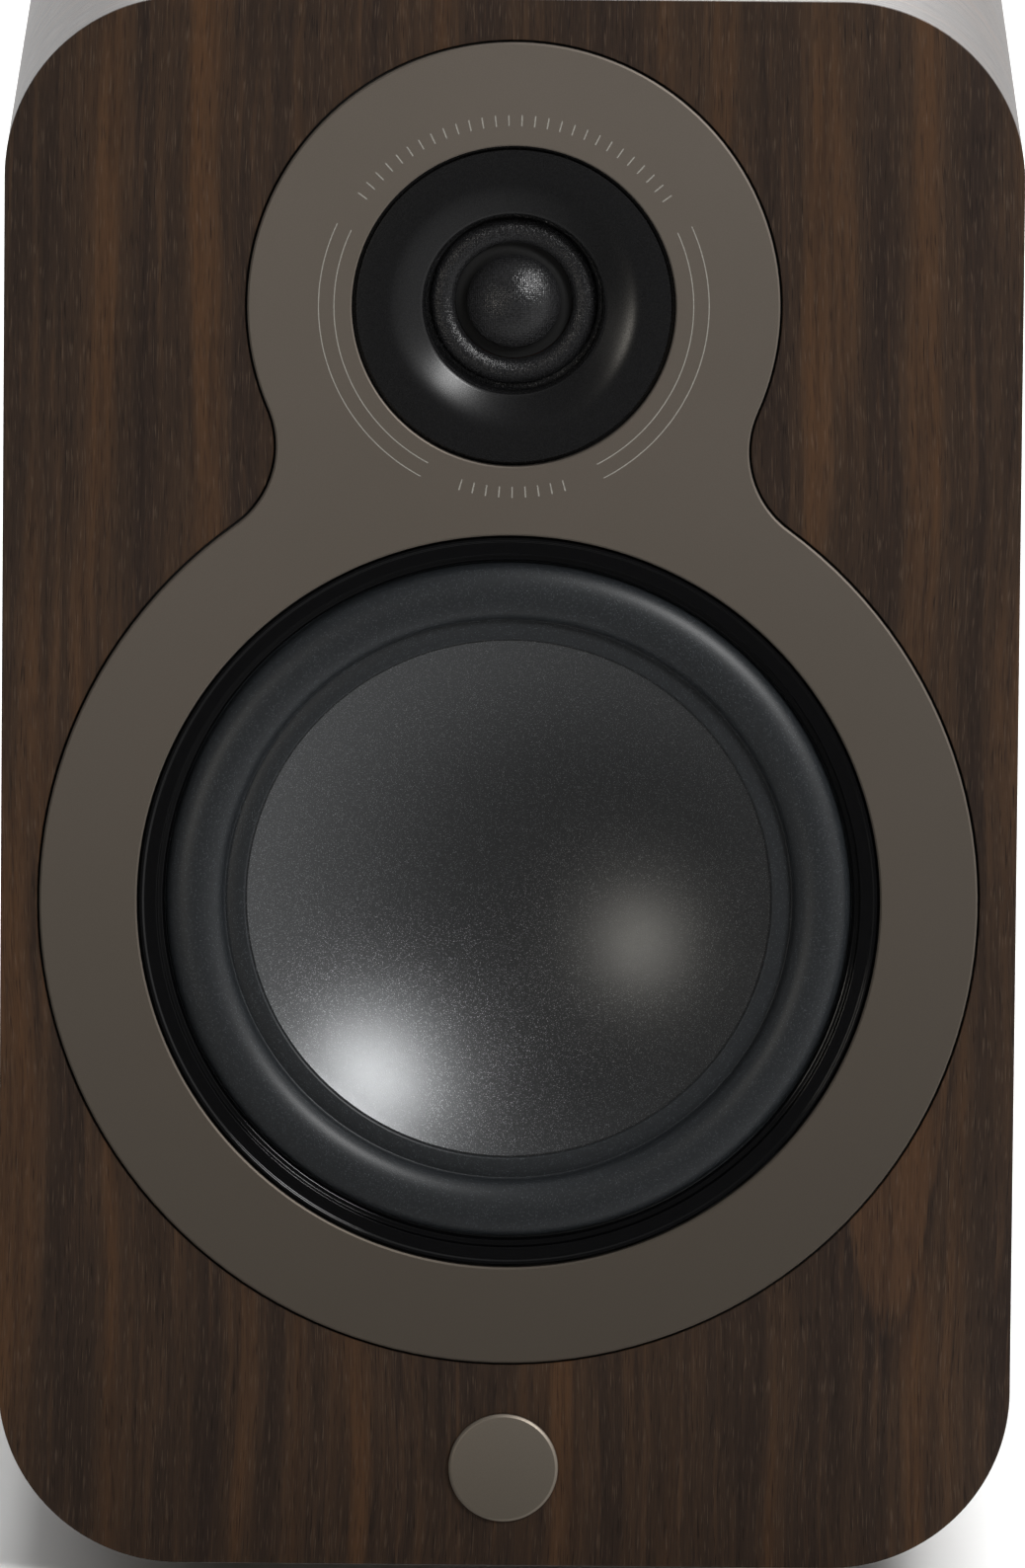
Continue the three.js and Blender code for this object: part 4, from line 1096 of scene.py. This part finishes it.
def make_legs():
    """The wire legs that carry the capacitor and the resistor down to the board."""
    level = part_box("crossover_board")[1].z
    reach, bend = 0.0022, 0.0007
    for node in ("crossover_capacitor", "crossover_resistor"):
        low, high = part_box(node)
        hub = (low + high) / 2
        for end, start, way in (("front", low.y, -1), ("rear", high.y, 1)):
            path = [(hub.x, start, hub.z), (hub.x, start + way * (reach - bend), hub.z),
                    (hub.x, start + way * (reach - bend * 0.3), hub.z - bend * 0.3),
                    (hub.x, start + way * reach, hub.z - bend), (hub.x, start + way * reach, level)]
            leg = bar(f"{node}_leg_{end}", path, 0.0004)
            place(leg, former_metal)


def make_inductor():
    """Layers of wire wound round an open core, with two plastic cheeks."""
    low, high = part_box("crossover_inductor")
    core, outer, wire, cheek = 0.009, (high.x - low.x) / 2, 0.00125, 0.0012
    bottom, top = low.z + cheek, high.z - cheek

    def bumps(start, end):
        turns = round((end - start) / wire)
        return [
            (start + (end - start) * k / (turns * 6), abs(math.sin(math.pi * k / 6)) ** 0.5)
            for k in range(turns * 6 + 1)
        ]

    side = [(outer - 0.0007 + 0.0005 * swell, z) for z, swell in bumps(bottom, top)]
    profile = [(core + 0.001, bottom)] + side + [(core + 0.001, top)]
    coil = upright_lathe("inductor_wire", profile, (low + high) / 2, 96)
    place(coil, copper_upright, replaces=["crossover_inductor"])
    for label, start in (("lower", low.z), ("upper", top)):
        rim = [(core, start), (outer, start), (outer, start + cheek * 0.9), (core, start + cheek * 0.9)]
        cheek_ring = upright_lathe(f"inductor_cheek_{label}", rim, (low + high) / 2, 96)
        place(cheek_ring, black_plastic)


def make_wadding():
    """A soft arch of wadding, tucked against the side and top walls."""
    low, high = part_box("wadding_lining")
    thick, corner = 0.012, 0.0105
    half_width = (high.y - low.y) / 2
    middle_y = (high.y + low.y) / 2
    reach = (high.x - low.x) / 2 - thick / 2
    roof = high.z - thick / 2
    foot = low.z + 0.002
    rise = roof - corner - foot
    side = [(Vector((-reach, 0, foot + rise * k / 40)), Vector((1, 0, 0))) for k in range(40)]
    for k in range(9):
        angle = k * math.pi / 16
        out = Vector((-math.cos(angle), 0, math.sin(angle)))
        side.append((Vector((corner - reach, 0, roof - corner)) + out * corner, -out))
    top = [
        (Vector(((reach - corner) * (k / 16 - 1), 0, roof)), Vector((0, 0, -1))) for k in range(1, 32)
    ]
    far = [(Vector((-p.x, 0, p.z)), Vector((-n.x, 0, n.z))) for p, n in side[::-1]]
    path = side + top + far
    rows = []
    around = 56
    for i, (point, inward) in enumerate(path):
        end = min(i, len(path) - 1 - i)
        full = math.sqrt(min(1, (end + 0.4) / 5))
        row = []
        for j in range(around):
            angle = 2 * math.pi * j / around
            u, v = math.cos(angle), math.sin(angle)
            across = math.copysign(abs(u) ** 0.35, u) * half_width * (0.93 + 0.05 * full)
            lift = math.copysign(abs(v) ** 0.6, v) * thick / 2 * full
            spot = point + inward * lift + Vector((0, middle_y + across, 0))
            soft = noise.noise(spot * 90) * 0.0016 + noise.noise(spot * 330) * 0.0006
            dent = 0.0014 * math.exp(-((i % 22 - 11) / 2.2) ** 2)
            if v > 0:
                spot -= inward * (dent + 0.001 + soft) * v * full
            row.append(spot)
        rows.append(row)
    piece = loft("wadding_arch", rows, 60)
    place(piece, wadding_finish, replaces=["wadding_lining"])


make_crossover()
make_legs()
make_inductor()
make_wadding()

# Hidden CAD pieces that keep their shape, with a better finish.
KEPT = {
    "window_brace": board_finish,
    "woofer_basket": frame_paint,
    "woofer_terminal": brown_board,
    "woofer_lead": red_wire,
    "tweeter_lead": dark_wire,
    "input_lead": dark_wire,
}
for node, finish in KEPT.items():
    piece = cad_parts[node]
    piece.data.materials.clear()
    piece.data.materials.append(finish)

# ---- Floor and light --------------------------------------------------------------------


def make_floor():
    bm = bmesh.new()
    bmesh.ops.create_grid(bm, x_segments=1, y_segments=1, size=6)
    floor = finish_mesh("floor", bm)
    floor.location.z = -0.0001
    floor.data.materials.append(pale_floor)
    floor.visible_glossy = False


def softbox(name, direction, distance, size, watts, color, target):
    """A square light that faces the target from a direction."""
    data = bpy.data.lights.new(name, "AREA")
    data.shape = "RECTANGLE"
    data.size, data.size_y = size
    data.energy = watts
    data.color = color
    light = bpy.data.objects.new(name, data)
    away = Vector(direction).normalized()
    light.location = target + away * distance
    light.rotation_euler = away.to_track_quat("Z", "Y").to_euler()
    bpy.context.scene.collection.objects.link(light)


def make_world():
    """Pale all round to the eye, and as a light bright behind and dim in front."""
    world = bpy.data.worlds.new("studio")
    bpy.context.scene.world = world
    world.use_nodes = True
    tree = world.node_tree
    shade = tree.nodes["Background"]
    view = add_node(tree, "ShaderNodeTexCoord").outputs["Generated"]
    toward = add_node(tree, "ShaderNodeVectorMath", {0: view, 1: (0.4, 0.9, -0.04)},
                      operation="DOT_PRODUCT").outputs["Value"]
    light = add_node(tree, "ShaderNodeMapRange", {
        "Value": toward, "From Min": -0.72, "From Max": 0.6, "To Min": 0.085, "To Max": 1.0,
    }).outputs["Result"]
    eye = add_node(tree, "ShaderNodeLightPath").outputs["Is Camera Ray"]
    shown = add_node(tree, "ShaderNodeMath", {0: light, 1: eye}, operation="MAXIMUM").outputs[0]
    tree.links.new(shown, shade.inputs["Color"])
    shade.inputs["Strength"].default_value = 1.0


make_floor()
make_world()
softbox("key_light", (0.54, -0.62, 0.57), 1.7, (0.56, 0.56), 15, (1.0, 1.0, 1.0), WOOFER)
softbox("left_light", (-0.545, -0.838, 0.05), 1.6, (0.25, 0.36), 2.0, (1.0, 0.94, 0.84), WOOFER)
softbox("back_light", (0.25, 0.75, 0.62), 2.2, (2.0, 1.2), 60, (1.0, 1.0, 1.0), WOOFER)
bpy.context.scene.view_settings.view_transform = "Standard"
